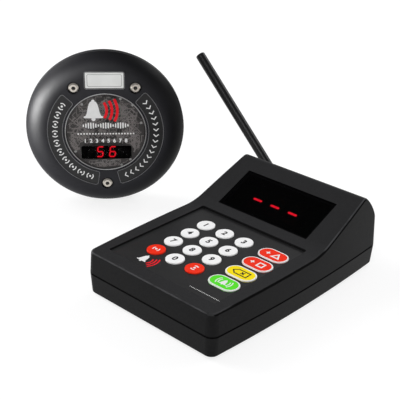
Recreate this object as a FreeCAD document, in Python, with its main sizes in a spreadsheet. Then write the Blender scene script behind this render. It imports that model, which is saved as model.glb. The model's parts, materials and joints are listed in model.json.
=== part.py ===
import FreeCAD, Part
import math
import os
import Sketcher

# A guest pager set: a desk transmitter with sixteen keys, a red display and a hinged rod antenna, and one
# round coaster pager that stands on its rim beside it, facing the same person as the keypad.
#
# Millimetres, +Z up. The origin lies on the desk, under the middle of the pair. The transmitter's keypad
# edge faces -Y. Four places carry every piece: the case (its middle, on the desk), the deck (the keypad
# slope, s measured up the slope from the front edge, z out of it), the hood (the display slope, s measured
# up from the bend) and the pager (middle of the disc, y up, z out of its face).

doc = FreeCAD.newDocument("guest_pager_set")

# %% Driving sizes

DRIVING_SIZES = [
    # where the two devices stand
    ("case_x", 67.57),
    ("case_y", -8.8),
    ("pager_left", 150.0),
    ("pager_back", 20.0),
    ("pager_yaw", 49.0),
    # transmitter case
    ("case_width", 112.0),
    ("case_depth", 163.5),
    ("side_bow", 3.0),
    ("corner_round", 6.0),
    ("wall_draft", 3.8),
    ("case_wall", 2.4),
    ("foot_stand", 1.5),
    ("parting_height", 13.9),
    ("parting_groove", 0.45),
    ("lip_height", 1.5),
    ("lip_wall", 1.1),
    ("lip_gap", 0.15),
    ("front_height", 28.8),
    ("deck_run", 97.1),
    ("deck_slope", 0.95),
    ("hood_slope", 24.35),
    ("hood_length", 53.9),
    ("hood_inner_cut", 5.0),
    ("roof_wall", 2.8),
    ("bend_round", 40.0),
    ("ridge_round", 4.0),
    ("back_straight", 21.5),
    ("back_crease", 0.6),
    ("rim_round", 1.5),
    ("floor_round", 1.0),
    # keypad
    ("recess_width", 88.6),
    ("recess_length", 84.2),
    ("recess_start", 11.0),
    ("recess_corner", 1.2),
    ("recess_depth", 1.1),
    ("overlay_thick", 0.5),
    ("overlay_gap", 0.15),
    ("deck_wall", 2.2),
    ("key_first_x", -24.2),
    ("key_first_s", 77.0),
    ("key_pitch_x", 16.4),
    ("key_pitch_s", 15.0),
    ("oval_x", 32.4),
    ("key_round", 12.0),
    ("key_gap", 0.2),
    ("key_proud", 0.8),
    ("key_travel", 0.7),
    ("key_edge", 0.4),
    ("flange_reach", 1.0),
    ("flange_thick", 1.0),
    ("plunger_round", 6.0),
    ("plunger_length", 0.5),
    ("oval_length", 21.0),
    ("oval_width", 12.5),
    ("dome_height", 1.8),
    ("dome_base", 9.0),
    ("dome_top", 5.0),
    ("dome_gap", 0.1),
    ("mat_thick", 1.0),
    ("mat_margin", 2.0),
    ("board_thick", 1.6),
    ("board_margin", 7.0),
    ("post_round", 5.0),
    ("pilot_round", 2.2),
    # display
    ("window_width", 74.6),
    ("window_height", 34.0),
    ("window_start", 6.6),
    ("window_thick", 1.2),
    ("window_sink", 0.1),
    ("window_gap", 0.1),
    ("window_ledge", 2.0),
    ("module_width", 14.6),
    ("module_height", 24.0),
    ("module_thick", 8.0),
    ("module_behind", 0.5),
    ("digit_pitch", 14.75),
    ("digit_middle", 21.5),
    ("dash_length", 7.2),
    ("dash_width", 1.6),
    ("segment_thick", 0.2),
    ("display_board_width", 83.0),
    ("display_board_height", 32.0),
    # antenna
    ("antenna_inset", 16.3),
    ("antenna_height", 19.0),
    ("antenna_lean", 46.8),
    ("spot_face_depth", 0.75),
    ("spot_face_round", 10.6),
    ("jack_round", 6.3),
    ("jack_reach", 8.0),
    ("jack_flange", 9.2),
    ("jack_flange_thick", 2.0),
    ("jack_tail", 6.0),
    ("thread_gap", 0.05),
    ("nut_flats", 8.0),
    ("nut_thick", 2.0),
    ("coupling_start", 2.3),
    ("coupling_length", 6.6),
    ("coupling_round", 9.0),
    ("fork_base_thick", 1.2),
    ("fork_width", 8.8),
    ("tongue_thick", 4.2),
    ("tongue_gap", 0.1),
    ("eye_round", 8.0),
    ("eye_gap", 0.2),
    ("hinge_pin_round", 2.5),
    ("pin_gap", 0.05),
    ("whip_round", 7.2),
    ("whip_start", 5.0),
    ("whip_length", 119.9),
    ("whip_tip_round", 1.0),
    # inside the lower case
    ("boss_round", 6.4),
    ("boss_inset", 12.0),
    ("boss_front", 7.25),
    ("boss_rear", 143.75),
    ("case_screw_round", 3.0),
    ("case_screw_head", 5.4),
    ("case_screw_head_thick", 2.2),
    ("counterbore_round", 5.8),
    ("counterbore_depth", 5.0),
    ("lower_boss_round", 7.8),
    ("screw_bite", 9.0),
    ("foot_round", 10.0),
    ("foot_sink", 0.8),
    ("foot_gap", 0.2),
    ("foot_inset", 16.0),
    ("foot_front", 21.75),
    ("foot_rear", 153.75),
    ("stand_off", 1.5),
    ("main_board_inset", 20.0),
    ("main_board_depth", 55.0),
    ("main_board_back", 4.75),
    ("dc_inset", 31.0),
    ("dc_width", 9.0),
    ("dc_height", 8.5),
    ("dc_depth", 13.5),
    ("dc_axis", 4.0),
    ("dc_bore", 5.8),
    ("dc_pin", 2.0),
    ("dc_opening", 7.0),
    # coaster pager
    ("pager_round", 115.0),
    ("pager_thick", 24.0),
    ("ring_inner", 43.5),
    ("ring_drop", 9.5),
    ("ring_curve", 16.0),
    ("pager_wall", 2.2),
    ("pager_front_wall", 3.0),
    ("pager_back_flat", 45.0),
    ("pager_groove", 0.4),
    ("tongue_wall", 1.2),
    ("tongue_rise", 1.5),
    ("lens_round", 59.0),
    ("lens_thick", 1.5),
    ("lens_sink", 0.1),
    ("lens_gap", 0.1),
    ("lens_ledge", 1.5),
    ("card_thick", 0.3),
    ("filter_width", 36.5),
    ("filter_height", 10.1),
    ("filter_thick", 1.2),
    ("filter_drop", 16.0),
    ("filter_corner", 1.6),
    ("pager_digit_width", 36.2),
    ("pager_digit_height", 12.6),
    ("pager_digit_thick", 6.6),
    ("pager_digit_pitch", 9.1),
    ("numeral_height", 8.7),
    ("numeral_width", 5.0),
    ("numeral_slant", 8.0),
    ("stroke", 1.0),
    ("pager_segment_thick", 0.2),
    ("label_width", 27.1),
    ("label_height", 11.3),
    ("label_thick", 0.9),
    ("label_sink", 0.2),
    ("label_gap", 0.5),
    ("label_up", 39.0),
    ("label_corner", 0.8),
    ("arc_inner", 31.3),
    ("arc_outer", 41.7),
    ("arc_sink", 0.5),
    ("arc_thick", 0.4),
    ("arc_gap", 0.1),
    ("arc_corner", 1.5),
    ("left_arc_start", 136.0),
    ("left_arc_end", 260.0),
    ("right_arc_start", -76.0),
    ("right_arc_end", 46.6),
    ("pager_screw_circle", 40.0),
    ("upper_screw_angle", 33.0),
    ("pager_screw_head", 7.3),
    ("pager_screw_head_thick", 2.2),
    ("pager_screw_round", 3.9),
    ("pager_screw_length", 16.0),
    ("pager_counterbore", 9.0),
    ("pager_counterbore_depth", 1.4),
    ("pager_post_round", 7.6),
    ("pager_boss_round", 8.4),
    ("post_meeting_gap", 0.1),
    ("pager_board_round", 70.0),
    ("pager_board_low", 0.7),
    ("rest_post_circle", 32.0),
    ("rest_post_round", 5.0),
    ("battery_length", 50.0),
    ("battery_width", 34.0),
    ("battery_thick", 6.0),
    ("battery_up", 8.0),
    ("glue_gap", 0.2),
    ("motor_round", 7.6),
    ("motor_length", 20.0),
    ("motor_left", 16.0),
    ("motor_down", 24.0),
    ("motor_lift", 1.2),
    ("shaft_round", 1.5),
    ("shaft_hold", 3.0),
    ("weight_round", 8.8),
    ("weight_length", 6.0),
    ("weight_gap", 1.0),
    ("cradle_length", 12.0),
    ("cradle_width", 10.0),
    ("cradle_gap", 0.05),
    ("beeper_round", 14.0),
    ("beeper_thick", 4.0),
    ("beeper_x", 25.0),
    ("beeper_down", 14.5),
    ("contact_round", 4.0),
    ("contact_head", 5.6),
    ("contact_x", 9.0),
    ("contact_down", 14.6),
    ("aerial_circle", 28.5),
    ("aerial_wire", 1.0),
    ("aerial_sweep", 120.0),
]

sizes = doc.addObject("Spreadsheet::Sheet", "sizes")
for row, (alias, value) in enumerate(DRIVING_SIZES, start=1):
    sizes.set(f"A{row}", alias)
    sizes.set(f"B{row}", str(value))
    sizes.setAlias(f"B{row}", alias)
doc.recompute()
layout = doc.addObject("App::VarSet", "layout")


class Size:
    """A number together with the expression on the sheet that gives it."""

    def __init__(self, number, text):
        self.number = float(number)
        self.text = text

    def __add__(self, other):
        other = as_size(other)
        return Size(self.number + other.number, f"({self.text} + {other.text})")

    def __sub__(self, other):
        other = as_size(other)
        return Size(self.number - other.number, f"({self.text} - {other.text})")

    def __mul__(self, other):
        other = as_size(other)
        return Size(self.number * other.number, f"({self.text} * {other.text})")

    def __truediv__(self, other):
        other = as_size(other)
        return Size(self.number / other.number, f"({self.text} / {other.text})")

    def __radd__(self, other):
        return as_size(other) + self

    def __rsub__(self, other):
        return as_size(other) - self

    def __rmul__(self, other):
        return as_size(other) * self

    def __rtruediv__(self, other):
        return as_size(other) / self

    def __neg__(self):
        return 0 - self


def as_size(value):
    return value if isinstance(value, Size) else Size(value, f"({float(value)})")


def cosine(angle):
    angle = as_size(angle)
    return Size(math.cos(math.radians(angle.number)), f"cos({angle.text})")


def sine(angle):
    angle = as_size(angle)
    return Size(math.sin(math.radians(angle.number)), f"sin({angle.text})")


def tangent(angle):
    angle = as_size(angle)
    return Size(math.tan(math.radians(angle.number)), f"tan({angle.text})")


def arcsine(ratio):
    """The angle in plain degrees whose sine is the ratio."""
    return Size(math.degrees(math.asin(ratio.number)), f"(asin({ratio.text}) / 1 deg)")


def root(value):
    return Size(math.sqrt(value.number), f"sqrt({value.text})")


def derive(name, value):
    """A named length that the sheet's sizes give, kept on the layout object under its own name."""
    layout.addProperty("App::PropertyFloat", name, "Derived")
    layout.setExpression(name, value.text)
    return Size(value.number, f"layout.{name}")


class Sheet:
    """The driving sizes by name."""


s = Sheet()
for alias, value in DRIVING_SIZES:
    setattr(s, alias, Size(value, f"sizes.{alias}"))

# %% Places


class Place:
    """An origin with a turn about Z, inside it a turn about X and inside that a turn about Y."""

    def __init__(self, origin, about_z=0, about_x=0, about_y=0):
        self.origin = [as_size(value) for value in origin]
        self.about_z = as_size(about_z)
        self.about_x = as_size(about_x)
        self.about_y = as_size(about_y)

    def at(self, x=0, y=0, z=0):
        """The same turns, with the origin moved along the axes that the Z and X turns give."""
        cz, sz = cosine(self.about_z), sine(self.about_z)
        cx, sx = cosine(self.about_x), sine(self.about_x)
        moved = [
            self.origin[0] + x * cz - y * sz * cx + z * sz * sx,
            self.origin[1] + x * sz + y * cz * cx - z * cz * sx,
            self.origin[2] + y * sx + z * cx,
        ]
        return Place(moved, self.about_z, self.about_x, self.about_y)

    def in_set(self):
        """A place in the transmitter's own frame, seen from the pair's origin."""
        x, y, z = self.origin
        return Place([x + s.case_x, y + s.case_y, z], self.about_z, self.about_x, self.about_y)

    @property
    def text(self):
        x, y, z = (value.text for value in self.origin)
        axes = (("0; 0; 1", self.about_z), ("1; 0; 0", self.about_x), ("0; 1; 0", self.about_y))
        turns = " * ".join(f"rotation(vector({axis}); {angle.text})" for axis, angle in axes)
        return f"placement(vector({x}; {y}; {z}); {turns})"


half_depth = derive("half_depth", s.case_depth / 2)
half_width = derive("half_width", s.case_width / 2)
boss_x = derive("boss_x", half_width - s.boss_inset)
foot_x = derive("foot_x", half_width - s.foot_inset)
half_main_board = derive("half_main_board", half_width - s.main_board_inset)
dc_x = derive("dc_x", half_width - s.dc_inset)
antenna_x = derive("antenna_x", s.antenna_inset - half_width)
floor_low = s.foot_stand
parting_z = derive("parting_z", s.foot_stand + s.parting_height)
front_z = derive("front_z", s.foot_stand + s.front_height)
bend_y = derive("bend_y", s.deck_run - half_depth)
bend_z = derive("bend_z", front_z + s.deck_run * tangent(s.deck_slope))

case_place = Place((0, 0, 0))
deck_place = Place((0, -half_depth, front_z), 0, s.deck_slope)
hood_place = Place((0, bend_y, bend_z), 0, s.hood_slope)
pager_place = Place(
    (s.case_x - s.pager_left, s.case_y + s.pager_back, s.pager_round / 2), s.pager_yaw, 90
)

# %% Drawing and making helpers


def bind(thing, name, value):
    """Ties a property to the expression behind a size."""
    thing.setExpression(name, as_size(value).text)


def place(thing, where):
    thing.setExpression("Placement", where.text)
    return thing


def new_body(name, where=None):
    body = doc.addObject("PartDesign::Body", name)
    body.Label = name
    if where is not None:
        place(body, where)
    return body


def new_sketch(body, role, offset=0):
    """A sketch on one of the body's origin planes, moved along the plane's normal."""
    sketch = body.newObject("Sketcher::SketchObject", body.Name + "_sketch")
    plane = [feature for feature in body.Origin.OriginFeatures if feature.Role == role][0]
    sketch.AttachmentSupport = [(plane, "")]
    sketch.MapMode = "FlatFace"
    bind(sketch, "AttachmentOffset.Base.z", offset)
    return sketch


def add_constraint(sketch, constraint, value=None):
    index = sketch.addConstraint(constraint)
    if value is not None:
        sketch.setExpression(f"Constraints[{index}]", value.text)


def lock_point(sketch, geometry, point, x, y):
    """Fixes a point of the sketch by its distances from the sketch's origin."""
    for kind, axis, value in (("DistanceX", -2, as_size(x)), ("DistanceY", -1, as_size(y))):
        if value.number == 0:
            add_constraint(sketch, Sketcher.Constraint("PointOnObject", geometry, point, axis))
        else:
            distance = Sketcher.Constraint(kind, -1, 1, geometry, point, value.number)
            add_constraint(sketch, distance, value)


def arc_between(start, end, radius):
    """The shorter arc from start to end. It turns left where the radius is positive."""
    chord = end - start
    rise = math.sqrt(max(radius ** 2 - (chord.Length / 2) ** 2, 0))
    left = FreeCAD.Vector(-chord.y, chord.x, 0).normalize()
    centre = (start + end) / 2 + left * math.copysign(rise, radius)
    first, last = (start, end) if radius > 0 else (end, start)
    angles = [math.atan2(p.y - centre.y, p.x - centre.x) for p in (first, last)]
    circle = Part.Circle(centre, FreeCAD.Vector(0, 0, 1), abs(radius))
    return Part.ArcOfCircle(circle, *angles)


def draw_outline(sketch, corners):
    """A closed outline through the corners (x, y) or (x, y, radius).

    A radius makes the edge after its corner an arc, turning left where it is positive.
    """
    points = [FreeCAD.Vector(as_size(c[0]).number, as_size(c[1]).number, 0) for c in corners]
    edges = []
    for index, corner in enumerate(corners):
        start, end = points[index], points[(index + 1) % len(points)]
        if len(corner) == 3:
            radius = as_size(corner[2])
            geometry = sketch.addGeometry(arc_between(start, end, radius.number), False)
            edges.append((geometry, 1, 2) if radius.number > 0 else (geometry, 2, 1))
            size = radius if radius.number > 0 else -radius
            add_constraint(sketch, Sketcher.Constraint("Radius", geometry, size.number), size)
        else:
            geometry = sketch.addGeometry(Part.LineSegment(start, end), False)
            edges.append((geometry, 1, 2))
    for index, (geometry, start_point, end_point) in enumerate(edges):
        after, after_start, _ = edges[(index + 1) % len(edges)]
        add_constraint(sketch, Sketcher.Constraint("Coincident", geometry, end_point, after, after_start))
        lock_point(sketch, geometry, start_point, *corners[index][:2])


def draw_circle(sketch, x, y, radius):
    radius = as_size(radius)
    centre = FreeCAD.Vector(as_size(x).number, as_size(y).number, 0)
    circle = Part.Circle(centre, FreeCAD.Vector(0, 0, 1), radius.number)
    geometry = sketch.addGeometry(circle, False)
    lock_point(sketch, geometry, 3, x, y)
    add_constraint(sketch, Sketcher.Constraint("Radius", geometry, radius.number), radius)


def box_corners(x_low, y_low, x_high, y_high, corner=None):
    """A rectangle, or one with rounded corners, anticlockwise from its lower left."""
    if corner is None:
        return [(x_low, y_low), (x_high, y_low), (x_high, y_high), (x_low, y_high)]
    return [
        (x_low + corner, y_low), (x_high - corner, y_low, corner),
        (x_high, y_low + corner), (x_high, y_high - corner, corner),
        (x_high - corner, y_high), (x_low + corner, y_high, corner),
        (x_low, y_high - corner), (x_low, y_low + corner, corner),
    ]


def centred_box(x, y, width, height, corner=None):
    return box_corners(x - width / 2, y - height / 2, x + width / 2, y + height / 2, corner)


def stadium_corners(x, y, length, width):
    """A slot shape along X: two straight sides and two quarter-round pairs."""
    end = width / 2
    reach = length / 2 - end
    return [
        (x - reach, y - end), (x + reach, y - end, end),
        (x + reach + end, y, end), (x + reach, y + end),
        (x - reach, y + end, end), (x - reach - end, y, end),
    ]


def pad_outlines(body, draw, low, high):
    """Raises what draw puts in a sketch on the body's XY plane, from low to high."""
    sketch = new_sketch(body, "XY_Plane", low)
    draw(sketch)
    feature = body.newObject("PartDesign::Pad", body.Name + "_pad")
    feature.Profile = sketch
    bind(feature, "Length", high - low)
    return feature


def pocket_outlines(body, draw, top, depth):
    """Cuts what draw puts in a sketch, downwards from top by depth."""
    sketch = new_sketch(body, "XY_Plane", top)
    draw(sketch)
    feature = body.newObject("PartDesign::Pocket", body.Name + "_pocket")
    feature.Profile = sketch
    bind(feature, "Length", depth)
    return feature


def slab(name, where, corners, low, high):
    body = new_body(name, where)
    pad_outlines(body, lambda sketch: draw_outline(sketch, corners), low, high)
    return body


def turned(name, where, corners):
    """A body of revolution about its own Z, from a profile of (radius, z) corners."""
    body = new_body(name, where)
    add_revolution(body, corners)
    return body


def add_revolution(body, corners, kind="PartDesign::Revolution"):
    sketch = new_sketch(body, "XZ_Plane")
    draw_outline(sketch, corners)
    feature = body.newObject(kind, body.Name + "_turn")
    feature.Profile = sketch
    feature.ReferenceAxis = (sketch, ["V_Axis"])
    feature.Angle = 360
    return feature


def cylinder(name, where, radius, height):
    part = doc.addObject("Part::Cylinder", name)
    bind(part, "Radius", radius)
    bind(part, "Height", height)
    return place(part, where)


def block(name, where, length, width, height):
    part = doc.addObject("Part::Box", name)
    bind(part, "Length", length)
    bind(part, "Width", width)
    bind(part, "Height", height)
    return place(part, where)


def cone(name, where, low_radius, high_radius, height):
    part = doc.addObject("Part::Cone", name)
    bind(part, "Radius1", low_radius)
    bind(part, "Radius2", high_radius)
    bind(part, "Height", height)
    return place(part, where)


def joined(name, parts):
    part = doc.addObject("Part::MultiFuse", name)
    part.Shapes = parts
    return part


def shared(name, parts):
    part = doc.addObject("Part::MultiCommon", name)
    part.Shapes = parts
    return part


def less(name, base, tool):
    part = doc.addObject("Part::Cut", name)
    part.Base = base
    part.Tool = tool
    return part


def group(name, parts):
    """Several separate solids that are one node."""
    part = doc.addObject("Part::Compound", name)
    part.Links = parts
    return part


def hexagon(across_flats):
    """Corners of a hexagon about the origin, from its distance across the flats."""
    reach = across_flats / root(as_size(3))
    return [(reach * cosine(60 * k), reach * sine(60 * k)) for k in range(6)]


CROWN_SHARE = 0.45
SOCKET_SHARE = 0.75
SOCKET_DEPTH_SHARE = 0.5


def pan_screw(name, where, head_radius, head_thick, shank_radius, shank_length):
    """A screw along -Z with the underside of its head at the origin and a hexagon socket in its top."""
    crown = head_thick * CROWN_SHARE
    body = turned(name, where, [
        (0, -shank_length), (shank_radius, -shank_length), (shank_radius, 0), (head_radius, 0),
        (head_radius, head_thick - crown), (head_radius - crown, head_thick), (0, head_thick),
    ])
    pocket_outlines(
        body, lambda sketch: draw_outline(sketch, hexagon(head_radius * SOCKET_SHARE)), head_thick,
        head_thick * SOCKET_DEPTH_SHARE
    )
    return body


nodes = {}


def keep(name, part):
    """Makes a part one of the set's nodes."""
    part.Label = name
    nodes[name] = part
    return part


# %% Small sizes that several pieces share

THREAD_FIT = 0.05
PILOT_SLACK = 0.1
SCREW_HOLE_GAP = 0.15
SMALL_HEAD = 2.1
SMALL_HEAD_THICK = 1.3
SMALL_SCREW_BITE = 4.0
EMBED = 0.6
CUT_PAST = 1.0
CUT_HIGH = 4.0

# %% Transmitter case: the drafted block that both shells are cut from

draft = derive("draft_per_height", tangent(s.wall_draft))
side_radius = derive("side_radius", (half_depth * half_depth + s.side_bow * s.side_bow) / (2 * s.side_bow))
arc_sine = (half_depth - s.corner_round) / (side_radius - s.corner_round)
corner_x = derive(
    "corner_x",
    half_width - side_radius + (side_radius - s.corner_round) * root(1 - arc_sine * arc_sine),
)
turn_sine = derive("turn_sine", arc_sine)
turn_cosine = derive("turn_cosine", root(1 - arc_sine * arc_sine))


def case_corners(inset):
    """The case's plan, moved in by inset: straight ends, bowed sides, rounded corners."""
    corner = s.corner_round - inset
    side = side_radius - inset
    end = half_depth - inset
    centre_y = half_depth - s.corner_round
    x = corner_x + corner * turn_cosine
    y = centre_y + corner * turn_sine
    return [
        (-corner_x, -end), (corner_x, -end, corner),
        (x, -y, side), (x, y, corner),
        (corner_x, end), (-corner_x, end, corner),
        (-x, y, side), (-x, -y, corner),
    ]


def case_loft(name, levels):
    """A block through the plan at each level of (z, inset), with straight rulings between."""
    body = new_body(name)
    sections = []
    for z, inset in levels:
        section = new_sketch(body, "XY_Plane", z)
        draw_outline(section, case_corners(as_size(inset)))
        sections.append(section)
    feature = body.newObject("PartDesign::AdditiveLoft", name + "_loft")
    feature.Profile = sections[0]
    feature.Sections = sections[1:]
    feature.Ruled = True
    return body


def inset_at(z, start=0):
    """How far the drafted wall has come in at a height, above or below the parting line."""
    rise = z - parting_z
    return start + (rise if rise.number > 0 else -rise) * draft


ridge_y = derive("ridge_y", bend_y + s.hood_length * cosine(s.hood_slope))
ridge_z = derive("ridge_z", bend_z + s.hood_length * sine(s.hood_slope))
block_top = derive("block_top", ridge_z + s.ridge_round)
back_z = derive("back_z", s.foot_stand + s.back_straight)
MARGIN = 20.0


def tangent_radius(from_y, from_z, to_y, to_z):
    """Radius of the arc that ends at (to_y, to_z) along the drafted back wall's line."""
    run = to_y - from_y
    drop = from_z - to_z
    across = run * cosine(s.wall_draft) - drop * sine(s.wall_draft)
    return (run * run + drop * drop) / (2 * across)


def side_profile(name, deck_drop, hood_drop, wall, ridge):
    """The case seen from its side, padded right across: deck, bend, hood slope and curved back."""
    low = parting_z - MARGIN
    front_y = -half_depth - MARGIN
    rear_y = half_depth + MARGIN
    deck_z = front_z - deck_drop / cosine(s.deck_slope)
    front_deck_z = deck_z - MARGIN * tangent(s.deck_slope)
    start_y = half_depth - inset_at(back_z) + s.back_crease - wall
    body = new_body(name)
    sketch = new_sketch(body, "YZ_Plane", -half_width - MARGIN)
    corners = [(front_y, low), (front_y, front_deck_z)]
    if wall.number == 0:
        reach = s.bend_round * tangent((s.hood_slope - s.deck_slope) / 2)
        corners.append((
            bend_y - reach * cosine(s.deck_slope), bend_z - reach * sine(s.deck_slope), s.bend_round
        ))
        corners.append((bend_y + reach * cosine(s.hood_slope), bend_z + reach * sine(s.hood_slope)))
        top_y, top_z = ridge_y, ridge_z
    else:
        slope_gap = tangent(s.hood_slope) - tangent(s.deck_slope)
        meet = (hood_drop / cosine(s.hood_slope) - deck_drop / cosine(s.deck_slope)) / slope_gap
        meet_z = bend_z + meet * tangent(s.deck_slope) - deck_drop / cosine(s.deck_slope)
        corners.append((bend_y + meet, meet_z))
        run = s.hood_length - s.hood_inner_cut
        top_y = bend_y + run * cosine(s.hood_slope) + hood_drop * sine(s.hood_slope)
        top_z = bend_z + run * sine(s.hood_slope) - hood_drop * cosine(s.hood_slope)
    top_y = derive(name + "_top_y", top_y)
    top_z = derive(name + "_top_z", top_z)
    start_y = derive(name + "_start_y", start_y)
    back_radius = derive(name + "_back_radius", tangent_radius(top_y, top_z, start_y, back_z))
    corners += [
        (top_y, top_z, -back_radius), (start_y, back_z),
        (rear_y, back_z), (rear_y, low),
    ]
    draw_outline(sketch, corners)
    feature = body.newObject("PartDesign::Pad", name + "_pad")
    feature.Profile = sketch
    bind(feature, "Length", 2 * (half_width + MARGIN))
    if ridge is not None:
        doc.recompute()
        crest = []
        for index, edge in enumerate(feature.Shape.Edges, start=1):
            ends = [vertex.Point for vertex in edge.Vertexes]
            if all(abs(p.y - top_y.number) + abs(p.z - top_z.number) < 0.01 for p in ends):
                crest.append(f"Edge{index}")
        rounding = body.newObject("PartDesign::Fillet", name + "_crest")
        rounding.Base = (feature, crest)
        bind(rounding, "Radius", ridge)
    return body


upper_block = case_loft("upper_block", [
    (parting_z, s.parting_groove),
    (parting_z + s.parting_groove, inset_at(parting_z + s.parting_groove)),
    (block_top, inset_at(block_top)),
])
upper_profile = side_profile("upper_profile", as_size(0), as_size(0), as_size(0), s.ridge_round)
upper_sharp = shared("upper_sharp", [upper_block, upper_profile])
doc.recompute()


def face_normals(shape, edge):
    """The outward normals, at the edge's middle, of the faces that share it."""
    middle = edge.valueAt((edge.FirstParameter + edge.LastParameter) / 2)
    normals = []
    for face in shape.Faces:
        if any(edge.isSame(other) for other in face.Edges):
            u, v = face.Surface.parameter(middle)
            normals.append(face.normalAt(u, v))
    return normals


SHARP_TURN = math.radians(12)
ABOVE_GROOVE = 0.1


def rim_edges(shape, low):
    """Edges above a height where a roof face turns sharply into a wall face."""
    chosen = []
    for index, edge in enumerate(shape.Edges, start=1):
        if edge.BoundBox.ZMin < low:
            continue
        normals = face_normals(shape, edge)
        if len(normals) != 2 or normals[0].getAngle(normals[1]) < SHARP_TURN:
            continue
        chosen.append(index)
    return chosen


upper_outer = doc.addObject("Part::Fillet", "upper_outer")
upper_outer.Base = upper_sharp
low_limit = parting_z.number + s.parting_groove.number + ABOVE_GROOVE
upper_outer.Edges = [
    (index, s.rim_round.number, s.rim_round.number)
    for index in rim_edges(upper_sharp.Shape, low_limit)
]

# %% Hollow of the upper case

under_deck = derive("under_deck", s.recess_depth + s.overlay_thick + s.deck_wall)
cavity_block = case_loft("cavity_block", [
    (parting_z - CUT_PAST, s.case_wall), (parting_z, s.case_wall),
    (block_top, inset_at(block_top, s.case_wall)),
])
cavity_profile = side_profile("cavity_profile", under_deck, s.roof_wall, s.case_wall, None)
upper_cavity = shared("upper_cavity", [cavity_block, cavity_profile])
lip_relief_inset = s.case_wall - s.lip_wall - s.lip_gap
lip_relief = case_loft("lip_relief", [
    (parting_z - CUT_PAST, lip_relief_inset), (parting_z + s.lip_height + s.lip_gap, lip_relief_inset),
])
upper_shell = less("upper_shell", upper_outer, joined("upper_hollows", [upper_cavity, lip_relief]))

# %% Posts under the deck and the hood, and the four screw bosses

key_columns = [s.key_first_x + s.key_pitch_x * column for column in range(3)]
key_rows = [s.key_first_s - s.key_pitch_s * row for row in range(4)]

key_low_x = key_columns[0] - s.key_round / 2 - s.flange_reach
key_high_x = s.oval_x + s.oval_length / 2 + s.flange_reach
key_low_s = key_rows[3] - s.oval_width / 2 - s.flange_reach
key_high_s = key_rows[0] + s.oval_width / 2 + s.flange_reach
board_low_s = derive("board_low_s", key_low_s - s.board_margin)
board_high_s = derive("board_high_s", key_high_s + s.board_margin)
board_high_x = derive("board_high_x", key_high_x + s.mat_margin / 2)
board_low_x = -board_high_x

plunger_low = derive("plunger_low", under_deck + s.flange_thick + s.plunger_length)
dome_top_z = derive("dome_top_z", plunger_low + s.key_travel + s.dome_gap)
mat_top = derive("mat_top", dome_top_z + s.dome_height)
board_top = derive("board_top", mat_top + s.mat_thick)
board_low = derive("board_low", board_top + s.board_thick)

post_radius = s.post_round / 2
POST_INSET = 0.5
keypad_posts = []
for side, x in (("left", board_low_x + post_radius), ("right", board_high_x - post_radius)):
    front_post = board_low_s + post_radius + POST_INSET
    rear_post = board_high_s - post_radius - POST_INSET
    for end, along in (("front", front_post), ("rear", rear_post)):
        keypad_posts.append((f"{side}_{end}", x, along))

window_floor = derive("window_floor", s.window_sink + s.window_thick)
module_front = derive("module_front", window_floor + s.module_behind)
module_back = derive("module_back", module_front + s.module_thick)
display_middle = derive("display_middle", s.digit_middle)
display_posts = []
for side, sign in (("left", -1), ("right", 1)):
    for end, direction in (("low", -1), ("high", 1)):
        x = sign * (s.display_board_width / 2 - post_radius)
        along = display_middle + direction * (s.display_board_height / 2 - post_radius)
        display_posts.append((f"{side}_{end}", x, along))

boss_spots = []
for side, sign in (("left", -1), ("right", 1)):
    for end, along in (("front", s.boss_front), ("rear", s.boss_rear)):
        boss_spots.append((f"{side}_{end}", sign * boss_x, along - half_depth))


def roof_height(y):
    """Height of the roof's inner side over the case's middle line at y."""
    if y.number > bend_y.number:
        return bend_z + (y - bend_y) * tangent(s.hood_slope) - s.roof_wall / cosine(s.hood_slope)
    return front_z + (y + half_depth) * tangent(s.deck_slope) - under_deck / cosine(s.deck_slope)


PILOT_SPARE = 1.0
upper_additions = []
pilot_holes = []
for name, x, along in keypad_posts:
    where = deck_place.at(x, along, -board_top)
    length = board_top - under_deck
    upper_additions.append(cylinder("keypad_post_" + name, where, post_radius, length + EMBED))
    pilot_holes.append(cylinder("keypad_pilot_" + name, where, s.pilot_round / 2, length))
for name, x, along in display_posts:
    where = hood_place.at(x, along, -module_back)
    length = module_back - s.roof_wall + EMBED
    upper_additions.append(cylinder("display_post_" + name, where, post_radius, length))
    pilot_holes.append(cylinder("display_pilot_" + name, where, s.pilot_round / 2, length - 2 * EMBED))
for name, x, y in boss_spots:
    where = case_place.at(x, y, parting_z)
    top = roof_height(y) + s.roof_wall / 2
    upper_additions.append(cylinder("boss_" + name, where, s.boss_round / 2, top - parting_z))
    pilot_holes.append(cylinder(
        "boss_pilot_" + name, where, s.case_screw_round / 2 + THREAD_FIT, s.screw_bite + PILOT_SPARE
    ))

# %% Openings of the upper case: keypad recess, key holes, window and antenna hole

KEY_CELLS = {
    "key_1": (0, 0), "key_2": (1, 0), "key_3": (2, 0),
    "key_4": (0, 1), "key_5": (1, 1), "key_6": (2, 1),
    "key_7": (0, 2), "key_8": (1, 2), "key_9": (2, 2),
    "key_left": (0, 3), "key_0": (1, 3), "key_right": (2, 3),
}
OVAL_ROWS = {"key_a": 0, "key_b": 1, "key_clear": 2, "key_call": 3}


def draw_key_holes(sketch):
    for column, row in KEY_CELLS.values():
        draw_circle(sketch, key_columns[column], key_rows[row], s.key_round / 2 + s.key_gap)
    for row in OVAL_ROWS.values():
        draw_outline(sketch, stadium_corners(
            s.oval_x, key_rows[row], s.oval_length + 2 * s.key_gap, s.oval_width + 2 * s.key_gap
        ))


overlay_low = derive("overlay_low", s.recess_depth + s.overlay_thick)
recess_middle = s.recess_start + s.recess_length / 2
recess_corners = centred_box(as_size(0), recess_middle, s.recess_width, s.recess_length, s.recess_corner)
deck_cutter = slab("deck_cutter", deck_place, recess_corners, -overlay_low, as_size(CUT_HIGH))
pad_outlines(deck_cutter, draw_key_holes, -under_deck - CUT_PAST, -overlay_low)

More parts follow.
